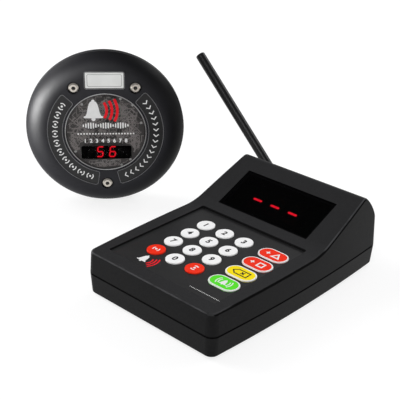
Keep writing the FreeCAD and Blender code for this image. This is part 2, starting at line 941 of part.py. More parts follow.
window_middle = s.window_start + s.window_height / 2
window_hole = centred_box(
    as_size(0), window_middle, s.window_width + 2 * s.window_gap, s.window_height + 2 * s.window_gap
)
hood_cutter = slab("hood_cutter", hood_place, window_hole, -window_floor, as_size(CUT_HIGH))
window_through = centred_box(
    as_size(0), window_middle, s.window_width - 2 * s.window_ledge, s.window_height - 2 * s.window_ledge
)
pad_outlines(
    hood_cutter, lambda sketch: draw_outline(sketch, window_through), -s.roof_wall - 2 * CUT_PAST,
    -window_floor
)

antenna_z = derive("antenna_z", s.foot_stand + s.antenna_height)
spot_face_y = derive("spot_face_y", half_depth - s.spot_face_depth)
JACK_FACE_CUT = 0.3
JACK_HOLE_GAP = 0.1
JACK_ROOM = 3.0
inner_face_y = derive("inner_face_y", half_depth - s.case_wall - inset_at(antenna_z) - JACK_FACE_CUT)
# local z points out of the back of the case, local y points down
jack_place = Place((antenna_x, spot_face_y, antenna_z), 180, 90)
jack_inner = derive("jack_inner", spot_face_y - inner_face_y)
antenna_cutter = turned("antenna_cutter", jack_place, [
    (0, -jack_inner - JACK_ROOM), (s.spot_face_round / 2, -jack_inner - JACK_ROOM),
    (s.spot_face_round / 2, -jack_inner), (s.jack_round / 2 + JACK_HOLE_GAP, -jack_inner),
    (s.jack_round / 2 + JACK_HOLE_GAP, 0), (s.spot_face_round / 2, 0), (s.spot_face_round / 2, CUT_HIGH),
    (0, CUT_HIGH),
])

upper_filled = joined("upper_filled", [upper_shell] + upper_additions)
upper_case = less("upper_case", upper_filled, joined(
    "upper_openings", [deck_cutter, hood_cutter, antenna_cutter] + pilot_holes
))
keep("upper_case", place(upper_case, case_place.in_set()))

# %% Lower case

floor_top = derive("floor_top", floor_low + s.case_wall)
EDGE_STEPS = 4


def rounded_floor_levels():
    """Levels of the loft along a quarter round at the floor's edge."""
    levels = []
    for step in range(EDGE_STEPS + 1):
        angle = 90 * step / EDGE_STEPS
        z = floor_low + s.floor_round * (1 - cosine(angle))
        levels.append((z, inset_at(z, s.floor_round * (1 - sine(angle)))))
    return levels


lower_block = case_loft("lower_block", rounded_floor_levels() + [
    (parting_z - s.parting_groove, inset_at(parting_z - s.parting_groove)),
    (parting_z, s.parting_groove),
])
lip_inset = s.case_wall - s.lip_wall
lip_top = parting_z + s.lip_height
lip_block = case_loft("lip_block", [(parting_z - CUT_PAST, lip_inset), (lip_top, lip_inset)])
lower_cavity = case_loft("lower_cavity", [
    (floor_top, inset_at(floor_top, s.case_wall)), (parting_z, s.case_wall),
    (lip_top + CUT_PAST, s.case_wall),
])
lower_shell = less("lower_shell", joined("lower_solid", [lower_block, lip_block]), lower_cavity)

lower_additions = []
lower_cuts = []
for name, x, y in boss_spots:
    lower_additions.append(cylinder(
        "lower_boss_" + name, case_place.at(x, y, floor_top - EMBED), s.lower_boss_round / 2,
        parting_z - floor_top + EMBED
    ))
    lower_cuts.append(cylinder(
        "counterbore_" + name, case_place.at(x, y, floor_low - CUT_PAST), s.counterbore_round / 2,
        s.counterbore_depth + CUT_PAST
    ))
    lower_cuts.append(cylinder(
        "screw_hole_" + name, case_place.at(x, y, floor_low), s.case_screw_round / 2 + SCREW_HOLE_GAP,
        s.parting_height + CUT_PAST
    ))

foot_spots = []
for side, sign in (("left", -1), ("right", 1)):
    for end, along in (("front", s.foot_front), ("rear", s.foot_rear)):
        foot_spots.append((f"{side}_{end}", sign * foot_x, along - half_depth))
for name, x, y in foot_spots:
    lower_cuts.append(cylinder(
        "foot_seat_" + name, case_place.at(x, y, floor_low - CUT_PAST), (s.foot_round + s.foot_gap) / 2,
        s.foot_sink + CUT_PAST
    ))

main_low = derive("main_low", floor_top + s.stand_off)
main_top = derive("main_top", main_low + s.board_thick)
main_back = half_depth - s.main_board_back
main_front = main_back - s.main_board_depth
MAIN_POST_INSET = 4.0
SCREW_FLOOR = 1.0
main_spots = []
for side, sign in (("left", -1), ("right", 1)):
    for end, y in (("front", main_front + MAIN_POST_INSET), ("rear", main_back - MAIN_POST_INSET)):
        main_spots.append((f"{side}_{end}", sign * (half_main_board - MAIN_POST_INSET), y))
for name, x, y in main_spots:
    lower_additions.append(cylinder(
        "main_post_" + name, case_place.at(x, y, floor_top - EMBED), post_radius, s.stand_off + EMBED
    ))
    lower_cuts.append(cylinder(
        "main_pilot_" + name, case_place.at(x, y, floor_low + SCREW_FLOOR), s.pilot_round / 2,
        main_low - floor_low
    ))

dc_axis_z = derive("dc_axis_z", main_top + s.dc_axis)
DC_WALL_GAP = 0.35
dc_face_y = derive("dc_face_y", half_depth - s.case_wall - inset_at(dc_axis_z) - DC_WALL_GAP)
# local z points out of the back of the case
dc_place = Place((dc_x, dc_face_y, dc_axis_z), 180, 90)
lower_cuts.append(cylinder("dc_hole", dc_place, s.dc_opening / 2, as_size(MARGIN)))

lower_filled = joined("lower_filled", [lower_shell] + lower_additions)
lower_case = less("lower_case", lower_filled, joined("lower_openings", lower_cuts))
keep("lower_case", place(lower_case, case_place.in_set()))

foot_solids = [
    cylinder("foot_" + name, case_place.at(x, y, 0).in_set(), s.foot_round / 2, s.foot_stand + s.foot_sink)
    for name, x, y in foot_spots
]
keep("rubber_feet", group("rubber_feet", foot_solids))


def upward(spot):
    """A place with its own Z pointing down, for a screw that goes up."""
    return Place(spot.origin, spot.about_z, spot.about_x + 180)


case_screws = []
for name, x, y in boss_spots:
    head_seat = case_place.at(x, y, floor_low + s.counterbore_depth).in_set()
    shank = s.parting_height - s.counterbore_depth + s.screw_bite
    case_screws.append(pan_screw(
        "case_screw_" + name, upward(head_seat), s.case_screw_head / 2, s.case_screw_head_thick,
        s.case_screw_round / 2, shank
    ))
keep("case_screws", group("case_screws", case_screws))

# %% Keypad: overlay, keys, silicone mat and board

overlay_corners = centred_box(
    as_size(0), recess_middle, s.recess_width - 2 * s.overlay_gap, s.recess_length - 2 * s.overlay_gap,
    s.recess_corner
)
deck = deck_place.in_set()
overlay = slab("keypad_overlay", deck, overlay_corners, -overlay_low, -s.recess_depth)
pocket_outlines(overlay, draw_key_holes, -s.recess_depth, s.overlay_thick)
keep("keypad_overlay", overlay)

key_top = derive("key_top", s.key_proud - s.recess_depth)


def soften_top(body, top):
    """Rounds the edges of a key's upper face."""
    doc.recompute()
    base = body.Tip
    names = [
        f"Edge{index}" for index, edge in enumerate(base.Shape.Edges, start=1)
        if abs(edge.BoundBox.ZMin - top) < 0.01 and abs(edge.BoundBox.ZMax - top) < 0.01
    ]
    rounding = body.newObject("PartDesign::Fillet", body.Name + "_edge")
    rounding.Base = (base, names)
    bind(rounding, "Radius", s.key_edge)


for name, (column, row) in KEY_CELLS.items():
    radius = s.key_round / 2
    flange = radius + s.flange_reach
    key = turned(name, deck.at(key_columns[column], key_rows[row], 0), [
        (0, -plunger_low), (s.plunger_round / 2, -plunger_low),
        (s.plunger_round / 2, -under_deck - s.flange_thick), (flange, -under_deck - s.flange_thick),
        (flange, -under_deck), (radius, -under_deck), (radius, key_top - s.key_edge, s.key_edge),
        (radius - s.key_edge, key_top), (0, key_top),
    ])
    keep(name, key)

for name, row in OVAL_ROWS.items():
    where = deck.at(s.oval_x, key_rows[row], 0)
    cap = stadium_corners(as_size(0), as_size(0), s.oval_length, s.oval_width)
    key = slab(name, where, cap, -under_deck, key_top)
    soften_top(key, key_top.number)
    flange = stadium_corners(
        as_size(0), as_size(0), s.oval_length + 2 * s.flange_reach, s.oval_width + 2 * s.flange_reach
    )
    pad_outlines(key, lambda sketch: draw_outline(sketch, flange), -under_deck - s.flange_thick, -under_deck)
    pad_outlines(
        key, lambda sketch: draw_circle(sketch, 0, 0, s.plunger_round / 2), -plunger_low,
        -under_deck - s.flange_thick
    )
    keep(name, key)

mat_low_x = key_low_x - s.mat_margin
mat_high_x = key_high_x + s.mat_margin / 2
mat_low_s = key_low_s - s.mat_margin / 4
mat_high_s = key_high_s + s.mat_margin / 4
mat_parts = [block(
    "mat_sheet", deck.at(mat_low_x, mat_low_s, -board_top), mat_high_x - mat_low_x, mat_high_s - mat_low_s,
    s.mat_thick
)]
key_spots = {name: (key_columns[column], key_rows[row]) for name, (column, row) in KEY_CELLS.items()}
key_spots.update({name: (s.oval_x, key_rows[row]) for name, row in OVAL_ROWS.items()})
for name, (x, along) in key_spots.items():
    mat_parts.append(cone(
        "dome_" + name, deck.at(x, along, -mat_top), s.dome_base / 2, s.dome_top / 2, s.dome_height
    ))
keep("keypad_mat", joined("keypad_mat", mat_parts))

keypad_board = slab(
    "keypad_board", deck, box_corners(board_low_x, board_low_s, board_high_x, board_high_s), -board_low,
    -board_top
)


def draw_board_holes(spots, radius):
    def draw(sketch):
        for _, x, y in spots:
            draw_circle(sketch, x, y, radius)
    return draw


screw_clearance = s.pilot_round / 2 + PILOT_SLACK
pocket_outlines(keypad_board, draw_board_holes(keypad_posts, screw_clearance), -board_top, s.board_thick)
keep("keypad_board", keypad_board)

small_shank = s.pilot_round / 2 - THREAD_FIT
keypad_screws = [
    pan_screw(
        "keypad_screw_" + name, upward(deck.at(x, along, -board_low)), as_size(SMALL_HEAD),
        as_size(SMALL_HEAD_THICK), small_shank, s.board_thick + SMALL_SCREW_BITE
    )
    for name, x, along in keypad_posts
]
keep("keypad_screws", group("keypad_screws", keypad_screws))

# %% Display: window, three digit modules, the lit dashes and their board

hood = hood_place.in_set()
WINDOW_CORNER = 0.4
window_corners = centred_box(
    as_size(0), window_middle, s.window_width, s.window_height, as_size(WINDOW_CORNER)
)
keep("display_window", slab("display_window", hood, window_corners, -window_floor, -s.window_sink))

digit_columns = [(column - 1) * s.digit_pitch for column in range(3)]
modules = []
dashes = []
for index, x in enumerate(digit_columns):
    modules.append(slab(
        f"digit_module_{index}", hood,
        centred_box(x, s.digit_middle, s.module_width, s.module_height), -module_back, -module_front
    ))
    dashes.append(slab(
        f"dash_{index}", hood, stadium_corners(x, s.digit_middle, s.dash_length, s.dash_width),
        -module_front, -module_front + s.segment_thick
    ))
keep("digit_modules", group("digit_modules", modules))
keep("lit_segments", group("lit_segments", dashes))

display_board = slab("display_board", hood, centred_box(
    as_size(0), display_middle, s.display_board_width, s.display_board_height
), -module_back - s.board_thick, -module_back)
pocket_outlines(display_board, draw_board_holes(display_posts, screw_clearance), -module_back, s.board_thick)
keep("display_board", display_board)
display_screws = [
    pan_screw(
        "display_screw_" + name, upward(hood.at(x, along, -module_back - s.board_thick)),
        as_size(SMALL_HEAD), as_size(SMALL_HEAD_THICK), small_shank, s.board_thick + SMALL_SCREW_BITE
    )
    for name, x, along in display_posts
]
keep("display_screws", group("display_screws", display_screws))

# %% Main board with its parts, beeper and power inlet

case = case_place.in_set()
main_board = slab("main_board", case, box_corners(
    -half_main_board, main_front, half_main_board, main_back
), main_low, main_top)
pocket_outlines(main_board, draw_board_holes(main_spots, screw_clearance), main_top, s.board_thick)
keep("main_board", main_board)
SCREW_END_GAP = 0.3
main_screws = [
    pan_screw(
        "main_screw_" + name, case.at(x, y, main_top), as_size(SMALL_HEAD), as_size(SMALL_HEAD_THICK),
        small_shank, s.board_thick + s.stand_off + s.case_wall - SCREW_FLOOR - SCREW_END_GAP
    )
    for name, x, y in main_spots
]
keep("main_screws", group("main_screws", main_screws))

# each chip: name, left and front edge, length, width, height
board_left = -half_main_board
CHIPS = [
    ("processor", as_size(2), main_front + 18, 12.0, 12.0, 1.4),
    ("driver", board_left + 22, main_front + 8, 10.0, 6.0, 1.6),
    ("regulator", dc_x - 5, main_back - 28, 6.5, 6.0, 2.3),
    ("crystal", half_main_board - 19, main_front + 9, 10.0, 4.0, 3.4),
    ("radio_can", antenna_x + 12, main_back - 26, 18.0, 15.0, 3.2),
]
chips = [
    block("chip_" + name, case.at(x, y, main_top), as_size(length), as_size(width), as_size(height))
    for name, x, y, length, width, height in CHIPS
]
# each capacitor: name, middle, radius, height
CAPACITORS = [
    ("input", dc_x - 12, main_back - 12, 3.2, 7.5),
    ("output", dc_x - 12, main_back - 21, 2.6, 6.5),
]
for name, x, y, radius, height in CAPACITORS:
    chips.append(cylinder("capacitor_" + name, case.at(x, y, main_top), as_size(radius), as_size(height)))
keep("main_board_parts", group("main_board_parts", chips))

BEEPER_RADIUS = 6.0
BEEPER_PORT = 1.2
BEEPER_HEIGHT = 7.0
BEEPER_PORT_DEPTH = 2.0
BEEPER_FROM_LEFT = 18.0
BEEPER_FROM_FRONT = 20.0
beeper_port_floor = BEEPER_HEIGHT - BEEPER_PORT_DEPTH
beeper = turned("beeper", case.at(board_left + BEEPER_FROM_LEFT, main_front + BEEPER_FROM_FRONT, main_top), [
    (0, 0), (BEEPER_RADIUS, 0), (BEEPER_RADIUS, BEEPER_HEIGHT), (BEEPER_PORT, BEEPER_HEIGHT),
    (BEEPER_PORT, beeper_port_floor), (0, beeper_port_floor),
])
keep("beeper", beeper)

# local x points to the case's left, local y up, z out of the back
dc_low = s.dc_axis
dc_jack = slab("dc_jack", dc_place.in_set(), box_corners(
    -s.dc_width / 2, -dc_low, s.dc_width / 2, s.dc_height - dc_low
), -s.dc_depth, as_size(0))
DC_BORE_DEPTH = 10.0
DC_PIN_SINK = 1.0
pocket_outlines(
    dc_jack, lambda sketch: draw_circle(sketch, 0, 0, s.dc_bore / 2), as_size(0), as_size(DC_BORE_DEPTH)
)
pad_outlines(
    dc_jack, lambda sketch: draw_circle(sketch, 0, 0, s.dc_pin / 2), as_size(-DC_BORE_DEPTH),
    as_size(-DC_PIN_SINK)
)
keep("dc_jack", dc_jack)

# %% Antenna: threaded jack, nut, coupling, hinge fork, pin and rod

jack = jack_place.in_set()
jack_radius = s.jack_round / 2
SOCKET_RADIUS = 2.1
SOCKET_DEPTH = 3.0
keep("antenna_jack", turned("antenna_jack", jack, [
    (0, -jack_inner - s.jack_flange_thick - s.jack_tail),
    (jack_radius, -jack_inner - s.jack_flange_thick - s.jack_tail),
    (jack_radius, -jack_inner - s.jack_flange_thick),
    (s.jack_flange / 2, -jack_inner - s.jack_flange_thick), (s.jack_flange / 2, -jack_inner),
    (jack_radius, -jack_inner), (jack_radius, s.jack_reach), (SOCKET_RADIUS, s.jack_reach),
    (SOCKET_RADIUS, s.jack_reach - SOCKET_DEPTH), (0, s.jack_reach - SOCKET_DEPTH),
]))
nut_bore = jack_radius + s.thread_gap
antenna_nut = slab("antenna_nut", jack, hexagon(s.nut_flats), as_size(0), s.nut_thick)
pocket_outlines(antenna_nut, lambda sketch: draw_circle(sketch, 0, 0, nut_bore), s.nut_thick, s.nut_thick)
keep("antenna_nut", antenna_nut)

coupling_end = derive("coupling_end", s.coupling_start + s.coupling_length)
COUPLING_CHAMFER = 0.5
keep("antenna_coupling", turned("antenna_coupling", jack, [
    (nut_bore, s.coupling_start), (s.coupling_round / 2 - COUPLING_CHAMFER, s.coupling_start),
    (s.coupling_round / 2, s.coupling_start + COUPLING_CHAMFER),
    (s.coupling_round / 2, coupling_end - COUPLING_CHAMFER),
    (s.coupling_round / 2 - COUPLING_CHAMFER, coupling_end), (nut_bore, coupling_end),
]))

fork_base_end = derive("fork_base_end", coupling_end + s.fork_base_thick)
hinge_reach = derive("hinge_reach", fork_base_end + s.eye_round / 2 + s.eye_gap)

# The hinge place sits at the hinge's middle. Its z is the hinge's axis, its x runs along the leaning rod
# and its y points straight back, away from the case.
hinge_point = [antenna_x, spot_face_y + hinge_reach, antenna_z]
hinge = Place(hinge_point, 0, 0, -90 - s.antenna_lean).in_set()
half_fork = s.fork_width / 2
half_slot = s.tongue_thick / 2 + s.tongue_gap
eye_radius = s.eye_round / 2
pin_radius = s.hinge_pin_round / 2

fork_base = s.eye_gap + eye_radius
fork = new_body("antenna_fork", hinge)


def draw_ear(sketch):
    draw_outline(sketch, [
        (-eye_radius, -fork_base - s.fork_base_thick), (eye_radius, -fork_base - s.fork_base_thick),
        (eye_radius, 0, eye_radius), (0, eye_radius, eye_radius), (-eye_radius, 0),
    ])


pad_outlines(fork, draw_ear, -half_fork, half_fork)
fork_slot = box_corners(
    -eye_radius - CUT_PAST, -fork_base, eye_radius + CUT_PAST, eye_radius + CUT_PAST
)
pocket_outlines(fork, lambda sketch: draw_outline(sketch, fork_slot), half_slot, 2 * half_slot)
pocket_outlines(fork, lambda sketch: draw_circle(sketch, 0, 0, pin_radius), half_fork, s.fork_width)
keep("antenna_fork", fork)

PIN_HEAD = 0.4
keep("antenna_pin", turned("antenna_pin", hinge, [
    (0, -half_fork - PIN_HEAD), (pin_radius + PIN_HEAD, -half_fork - PIN_HEAD),
    (pin_radius + PIN_HEAD, -half_fork), (pin_radius, -half_fork), (pin_radius, half_fork),
    (pin_radius + PIN_HEAD, half_fork), (pin_radius + PIN_HEAD, half_fork + PIN_HEAD),
    (0, half_fork + PIN_HEAD),
]))

whip = new_body("antenna_whip", hinge)
half_tongue = s.tongue_thick / 2
TONGUE_HALF = 3.2
ROD_OVERLAP = 2.0


def draw_tongue(sketch):
    joint = root(eye_radius * eye_radius - TONGUE_HALF * TONGUE_HALF)
    draw_outline(sketch, [
        (joint, -TONGUE_HALF), (s.whip_start + ROD_OVERLAP, -TONGUE_HALF),
        (s.whip_start + ROD_OVERLAP, TONGUE_HALF),
        (joint, TONGUE_HALF, eye_radius), (-eye_radius, 0, eye_radius),
    ])


pad_outlines(whip, draw_tongue, -half_tongue, half_tongue)
rod_sketch = new_sketch(whip, "XY_Plane")
rod_radius = s.whip_round / 2
draw_outline(rod_sketch, [
    (s.whip_start, 0), (s.whip_length, 0), (s.whip_length, rod_radius - s.whip_tip_round, s.whip_tip_round),
    (s.whip_length - s.whip_tip_round, rod_radius), (s.whip_start, rod_radius),
])
rod = whip.newObject("PartDesign::Revolution", "antenna_whip_rod")
rod.Profile = rod_sketch
rod.ReferenceAxis = (rod_sketch, ["H_Axis"])
rod.Angle = 360
pocket_outlines(
    whip, lambda sketch: draw_circle(sketch, 0, 0, pin_radius + s.pin_gap), half_tongue, s.tongue_thick
)
keep("antenna_whip", whip)

# %% Coaster pager: two shells that meet in the middle of the rim

rim = derive("pager_radius", s.pager_round / 2)
face_z = derive("face_z", s.pager_thick / 2)
band_z = derive("band_z", face_z - s.ring_drop)
inner_rim = derive("inner_rim", rim - s.pager_wall)
front_inner_z = derive("front_inner_z", face_z - s.pager_front_wall)
back_inner_z = derive("back_inner_z", -face_z + s.pager_wall)
lens_seat_z = derive("lens_seat_z", face_z - s.lens_sink - s.lens_thick - s.card_thick)
seat_radius = s.lens_round / 2 + s.lens_gap
hole_radius = s.lens_round / 2 + s.lens_gap - s.lens_ledge
inner_curve = s.ring_curve - s.pager_wall

top_shell = turned("pager_top", pager_place, [
    (hole_radius, front_inner_z), (hole_radius, lens_seat_z), (seat_radius, lens_seat_z),
    (seat_radius, face_z), (s.ring_inner, face_z, -s.ring_curve), (rim, band_z), (rim, s.pager_groove),
    (rim - s.pager_groove, 0), (inner_rim, 0), (inner_rim, band_z, inner_curve),
    (s.ring_inner - s.pager_wall / 2, front_inner_z),
])


def at_angle(radius, angle):
    return radius * cosine(angle), radius * sine(angle)


screw_angles = [90 + s.upper_screw_angle, 90 - s.upper_screw_angle, as_size(270)]
screw_spots = [at_angle(s.pager_screw_circle, angle) for angle in screw_angles]


def arc_corners(start, end, gap):
    """A curved panel between two radii and two angles, with rounded corners, moved in by gap."""
    low, high, corner = s.arc_inner + gap, s.arc_outer - gap, s.arc_corner
    side_gap = arcsine(gap / ((low + high) / 2)) if gap.number > 0 else as_size(0)
    start, end = start + side_gap, end - side_gap
    outer_turn = arcsine(corner / (high - corner))
    inner_turn = arcsine(corner / (low + corner))
    outer_straight = root((high - corner) * (high - corner) - corner * corner)
    inner_straight = root((low + corner) * (low + corner) - corner * corner)
    middle = (start + end) / 2
    return [
        at_angle(high, start + outer_turn) + (high,), at_angle(high, middle) + (high,),
        at_angle(high, end - outer_turn) + (corner,), at_angle(outer_straight, end),
        at_angle(inner_straight, end) + (corner,), at_angle(low, end - inner_turn) + (-low,),
        at_angle(low, middle) + (-low,), at_angle(low, start + inner_turn) + (corner,),
        at_angle(inner_straight, start), at_angle(outer_straight, start) + (corner,),
    ]


arc_floor = s.arc_sink + s.arc_thick
ARC_PANELS = {
    "arc_panel_left": (s.left_arc_start, s.left_arc_end),
    "arc_panel_right": (s.right_arc_start, s.right_arc_end),
}
for start, end in ARC_PANELS.values():
    corners = arc_corners(start, end, as_size(0))
    pocket_outlines(top_shell, lambda sketch: draw_outline(sketch, corners), face_z, arc_floor)

label_floor = s.label_sink + s.label_thick
label_hole = centred_box(
    as_size(0), s.label_up, s.label_width + 2 * s.label_gap, s.label_height + 2 * s.label_gap, s.label_corner
)
pocket_outlines(top_shell, lambda sketch: draw_outline(sketch, label_hole), face_z, label_floor)

PAGER_HOLE_GAP = 0.2
boss_floor = s.post_meeting_gap * 4
top_boss_radius = s.pager_boss_round / 2
shank_hole = s.pager_screw_round / 2 + PAGER_HOLE_GAP
pad_outlines(
    top_shell, lambda sketch: [draw_circle(sketch, x, y, top_boss_radius) for x, y in screw_spots],
    boss_floor, front_inner_z + EMBED
)
pocket_outlines(
    top_shell, lambda sketch: [draw_circle(sketch, x, y, s.pager_counterbore / 2) for x, y in screw_spots],
    face_z, s.pager_counterbore_depth
)
pocket_outlines(
    top_shell, lambda sketch: [draw_circle(sketch, x, y, shank_hole) for x, y in screw_spots], face_z,
    face_z - boss_floor
)
keep("pager_top", top_shell)

TONGUE_FIT = 0.15
tongue_outer = inner_rim - TONGUE_FIT
tongue_inner = tongue_outer - s.tongue_wall
bottom_shell = turned("pager_bottom", pager_place, [
    (0, -face_z), (s.pager_back_flat, -face_z, s.ring_curve), (rim, -band_z), (rim, -s.pager_groove),
    (rim - s.pager_groove, 0), (tongue_outer, 0), (tongue_outer, s.tongue_rise),
    (tongue_inner, s.tongue_rise),
    (tongue_inner, -band_z - 1, -inner_curve), (s.pager_back_flat - s.pager_wall, back_inner_z),
    (0, back_inner_z),
])
rest_spots = [at_angle(s.rest_post_circle, angle) for angle in (0, 180, 270)]
pad_outlines(
    bottom_shell, lambda sketch: [draw_circle(sketch, x, y, s.pager_post_round / 2) for x, y in screw_spots],
    back_inner_z - EMBED, boss_floor - s.post_meeting_gap
)
pad_outlines(
    bottom_shell, lambda sketch: [draw_circle(sketch, x, y, s.rest_post_round / 2) for x, y in rest_spots],
    back_inner_z - EMBED, s.pager_board_low
)
screw_seat_z = face_z - s.pager_counterbore_depth
pilot_floor = screw_seat_z - s.pager_screw_length - SCREW_END_GAP
shank_pilot = s.pager_screw_round / 2 + THREAD_FIT
pocket_outlines(
    bottom_shell, lambda sketch: [draw_circle(sketch, x, y, shank_pilot) for x, y in screw_spots], boss_floor,
    boss_floor - pilot_floor
)
REST_PILOT = 6.0
pocket_outlines(
    bottom_shell, lambda sketch: [draw_circle(sketch, x, y, s.pilot_round / 2) for x, y in rest_spots],
    s.pager_board_low, as_size(REST_PILOT)
)
contact_spots = [(-s.contact_x, -s.contact_down), (s.contact_x, -s.contact_down)]
contact_hole = s.contact_round / 2 + THREAD_FIT
pocket_outlines(
    bottom_shell, lambda sketch: [draw_circle(sketch, x, y, contact_hole) for x, y in contact_spots],
    back_inner_z, s.pager_wall
)
keep("pager_bottom", bottom_shell)

pager_screws = [
    pan_screw(
        f"pager_screw_{index}", pager_place.at(x, y, screw_seat_z), s.pager_screw_head / 2,
        s.pager_screw_head_thick, s.pager_screw_round / 2, s.pager_screw_length
    )
    for index, (x, y) in enumerate(screw_spots)
]
keep("pager_screws", group("pager_screws", pager_screws))

# %% The pager's face: lens, card, display and label

lens_low = derive("lens_low", face_z - s.lens_sink - s.lens_thick)
lens_radius = s.lens_round / 2
LENS_CHAMFER = 0.3
CARD_GAP = 0.2
keep("pager_lens", turned("pager_lens", pager_place, [
    (0, lens_low), (lens_radius, lens_low), (lens_radius, face_z - s.lens_sink - LENS_CHAMFER),
    (lens_radius - LENS_CHAMFER, face_z - s.lens_sink), (0, face_z - s.lens_sink),
]))
card_radius = lens_radius - CARD_GAP
card = turned("insert_card", pager_place, [
    (0, lens_seat_z), (card_radius, lens_seat_z), (card_radius, lens_low), (0, lens_low),
])
card_window = centred_box(
    as_size(0), -s.filter_drop, s.filter_width + CARD_GAP, s.filter_height + CARD_GAP, s.filter_corner
)
pocket_outlines(card, lambda sketch: draw_outline(sketch, card_window), lens_low, s.card_thick)
keep("insert_card", card)
filter_corners = centred_box(as_size(0), -s.filter_drop, s.filter_width, s.filter_height, s.filter_corner)
filter_low = derive("filter_low", lens_low - s.filter_thick)
keep("pager_filter", slab("pager_filter", pager_place, filter_corners, filter_low, lens_low))

pager_board_top = derive("pager_board_top", s.pager_board_low + s.board_thick)
pager_digit_top = derive("pager_digit_top", pager_board_top + s.pager_digit_thick)
keep("pager_digits", slab("pager_digits", pager_place, centred_box(
    as_size(0), -s.filter_drop, s.pager_digit_width, s.pager_digit_height
), pager_board_top, pager_digit_top))

# the seven strokes of a numeral: middle, direction and length in a unit cell one wide and two high
STROKES = {
    "top": (0, 1, "across"), "middle": (0, 0, "across"), "bottom": (0, -1, "across"),
    "upper_left": (-1, 0.5, "up"), "upper_right": (1, 0.5, "up"),
    "lower_left": (-1, -0.5, "up"), "lower_right": (1, -0.5, "up"),
}
NUMERALS = {
    "5": ("top", "upper_left", "middle", "lower_right", "bottom"),
    "6": ("top", "upper_left", "middle", "lower_left", "lower_right", "bottom"),
}
stroke_half = s.stroke / 2
STROKE_GAP = 0.12
cell_half_width = s.numeral_width / 2 - stroke_half
cell_half_height = s.numeral_height / 2 - stroke_half
lean_ratio = tangent(s.numeral_slant)


def stroke_corners(middle_x, numeral_x, kind):
    """A pointed bar, slanted with the numeral: six corners, anticlockwise."""
    column, level, direction = STROKES[kind]
    x = column * cell_half_width
    y = level * cell_half_height
    if direction == "across":
        reach = cell_half_width - STROKE_GAP
        bar = [
            (x - reach, y), (x - reach + stroke_half, y - stroke_half),
            (x + reach - stroke_half, y - stroke_half), (x + reach, y),
            (x + reach - stroke_half, y + stroke_half), (x - reach + stroke_half, y + stroke_half),
        ]
    else:
        reach = cell_half_height / 2 - STROKE_GAP
        bar = [
            (x, y - reach), (x + stroke_half, y - reach + stroke_half),
            (x + stroke_half, y + reach - stroke_half), (x, y + reach),
            (x - stroke_half, y + reach - stroke_half), (x - stroke_half, y - reach + stroke_half),
        ]
    return [(middle_x + numeral_x + px + py * lean_ratio, py - s.filter_drop) for px, py in bar]


strokes = []
for sign, numeral in ((-0.5, "5"), (0.5, "6")):
    for kind in NUMERALS[numeral]:
        strokes.append(slab(
            f"numeral_{numeral}_{kind}", pager_place,
            stroke_corners(as_size(0), sign * s.pager_digit_pitch, kind), pager_digit_top,
            pager_digit_top + s.pager_segment_thick
        ))
keep("pager_lit_segments", group("pager_lit_segments", strokes))

label_corners = centred_box(as_size(0), s.label_up, s.label_width, s.label_height, s.label_corner)
keep("label_plate", slab(
    "label_plate", pager_place, label_corners, face_z - label_floor, face_z - s.label_sink
))
for name, (start, end) in ARC_PANELS.items():
    keep(name, slab(
        name, pager_place, arc_corners(start, end, s.arc_gap), face_z - arc_floor, face_z - s.arc_sink
    ))

# %% Inside the pager

pager_board = new_body("pager_board", pager_place)
pad_outlines(
    pager_board, lambda sketch: draw_circle(sketch, 0, 0, s.pager_board_round / 2), s.pager_board_low,
    pager_board_top
)
pocket_outlines(
    pager_board, lambda sketch: [draw_circle(sketch, x, y, screw_clearance) for x, y in rest_spots],
    pager_board_top, s.board_thick
)
keep("pager_board", pager_board)
board_screws = [
    pan_screw(
        f"pager_board_screw_{index}", pager_place.at(x, y, pager_board_top), as_size(SMALL_HEAD),
        as_size(SMALL_HEAD_THICK), small_shank, s.board_thick + SMALL_SCREW_BITE
    )
    for index, (x, y) in enumerate(rest_spots)
]
keep("pager_board_screws", group("pager_board_screws", board_screws))

wire_radius = s.aerial_wire / 2
aerial = new_body("pager_aerial", pager_place)
aerial_sketch = new_sketch(aerial, "XZ_Plane")
draw_circle(aerial_sketch, s.aerial_circle, pager_board_top + wire_radius, wire_radius)
aerial_turn = aerial.newObject("PartDesign::Revolution", "pager_aerial_turn")
aerial_turn.Profile = aerial_sketch
aerial_turn.ReferenceAxis = (aerial_sketch, ["V_Axis"])
bind(aerial_turn, "Angle", s.aerial_sweep)
keep("pager_aerial", aerial)

BATTERY_CORNER = 2.0
battery_low = back_inner_z + s.glue_gap
keep("pager_battery", slab("pager_battery", pager_place, centred_box(
    as_size(0), s.battery_up, s.battery_length, s.battery_width, as_size(BATTERY_CORNER)
), battery_low, battery_low + s.battery_thick))

motor_radius = s.motor_round / 2
motor_z = derive("motor_z", back_inner_z + s.motor_lift + motor_radius)
# the motor's own z runs across the pager, along its shaft
motor_spot = pager_place.at(-s.motor_left, -s.motor_down, motor_z)
motor_place = Place(motor_spot.origin, s.pager_yaw, 90, 90)
shaft_radius = s.shaft_round / 2
shaft_bore = shaft_radius + s.pin_gap
keep("motor_can", turned("motor_can", motor_place, [
    (0, 0), (motor_radius, 0), (motor_radius, s.motor_length), (shaft_bore, s.motor_length),
    (shaft_bore, s.motor_length - s.shaft_hold), (0, s.motor_length - s.shaft_hold),
]))
SHAFT_END_GAP = 0.1
weight_start = s.motor_length + s.weight_gap
weight_end = weight_start + s.weight_length
weight = new_body("motor_weight", motor_place)
pad_outlines(
    weight, lambda sketch: draw_circle(sketch, 0, 0, shaft_radius),
    s.motor_length - s.shaft_hold + SHAFT_END_GAP, weight_end
)
half_disc = s.weight_round / 2


def draw_half_disc(sketch):
    draw_outline(sketch, [(0, -half_disc, half_disc), (half_disc, 0, half_disc), (0, half_disc)])


pad_outlines(weight, draw_half_disc, weight_start, weight_end)
keep("motor_weight", weight)

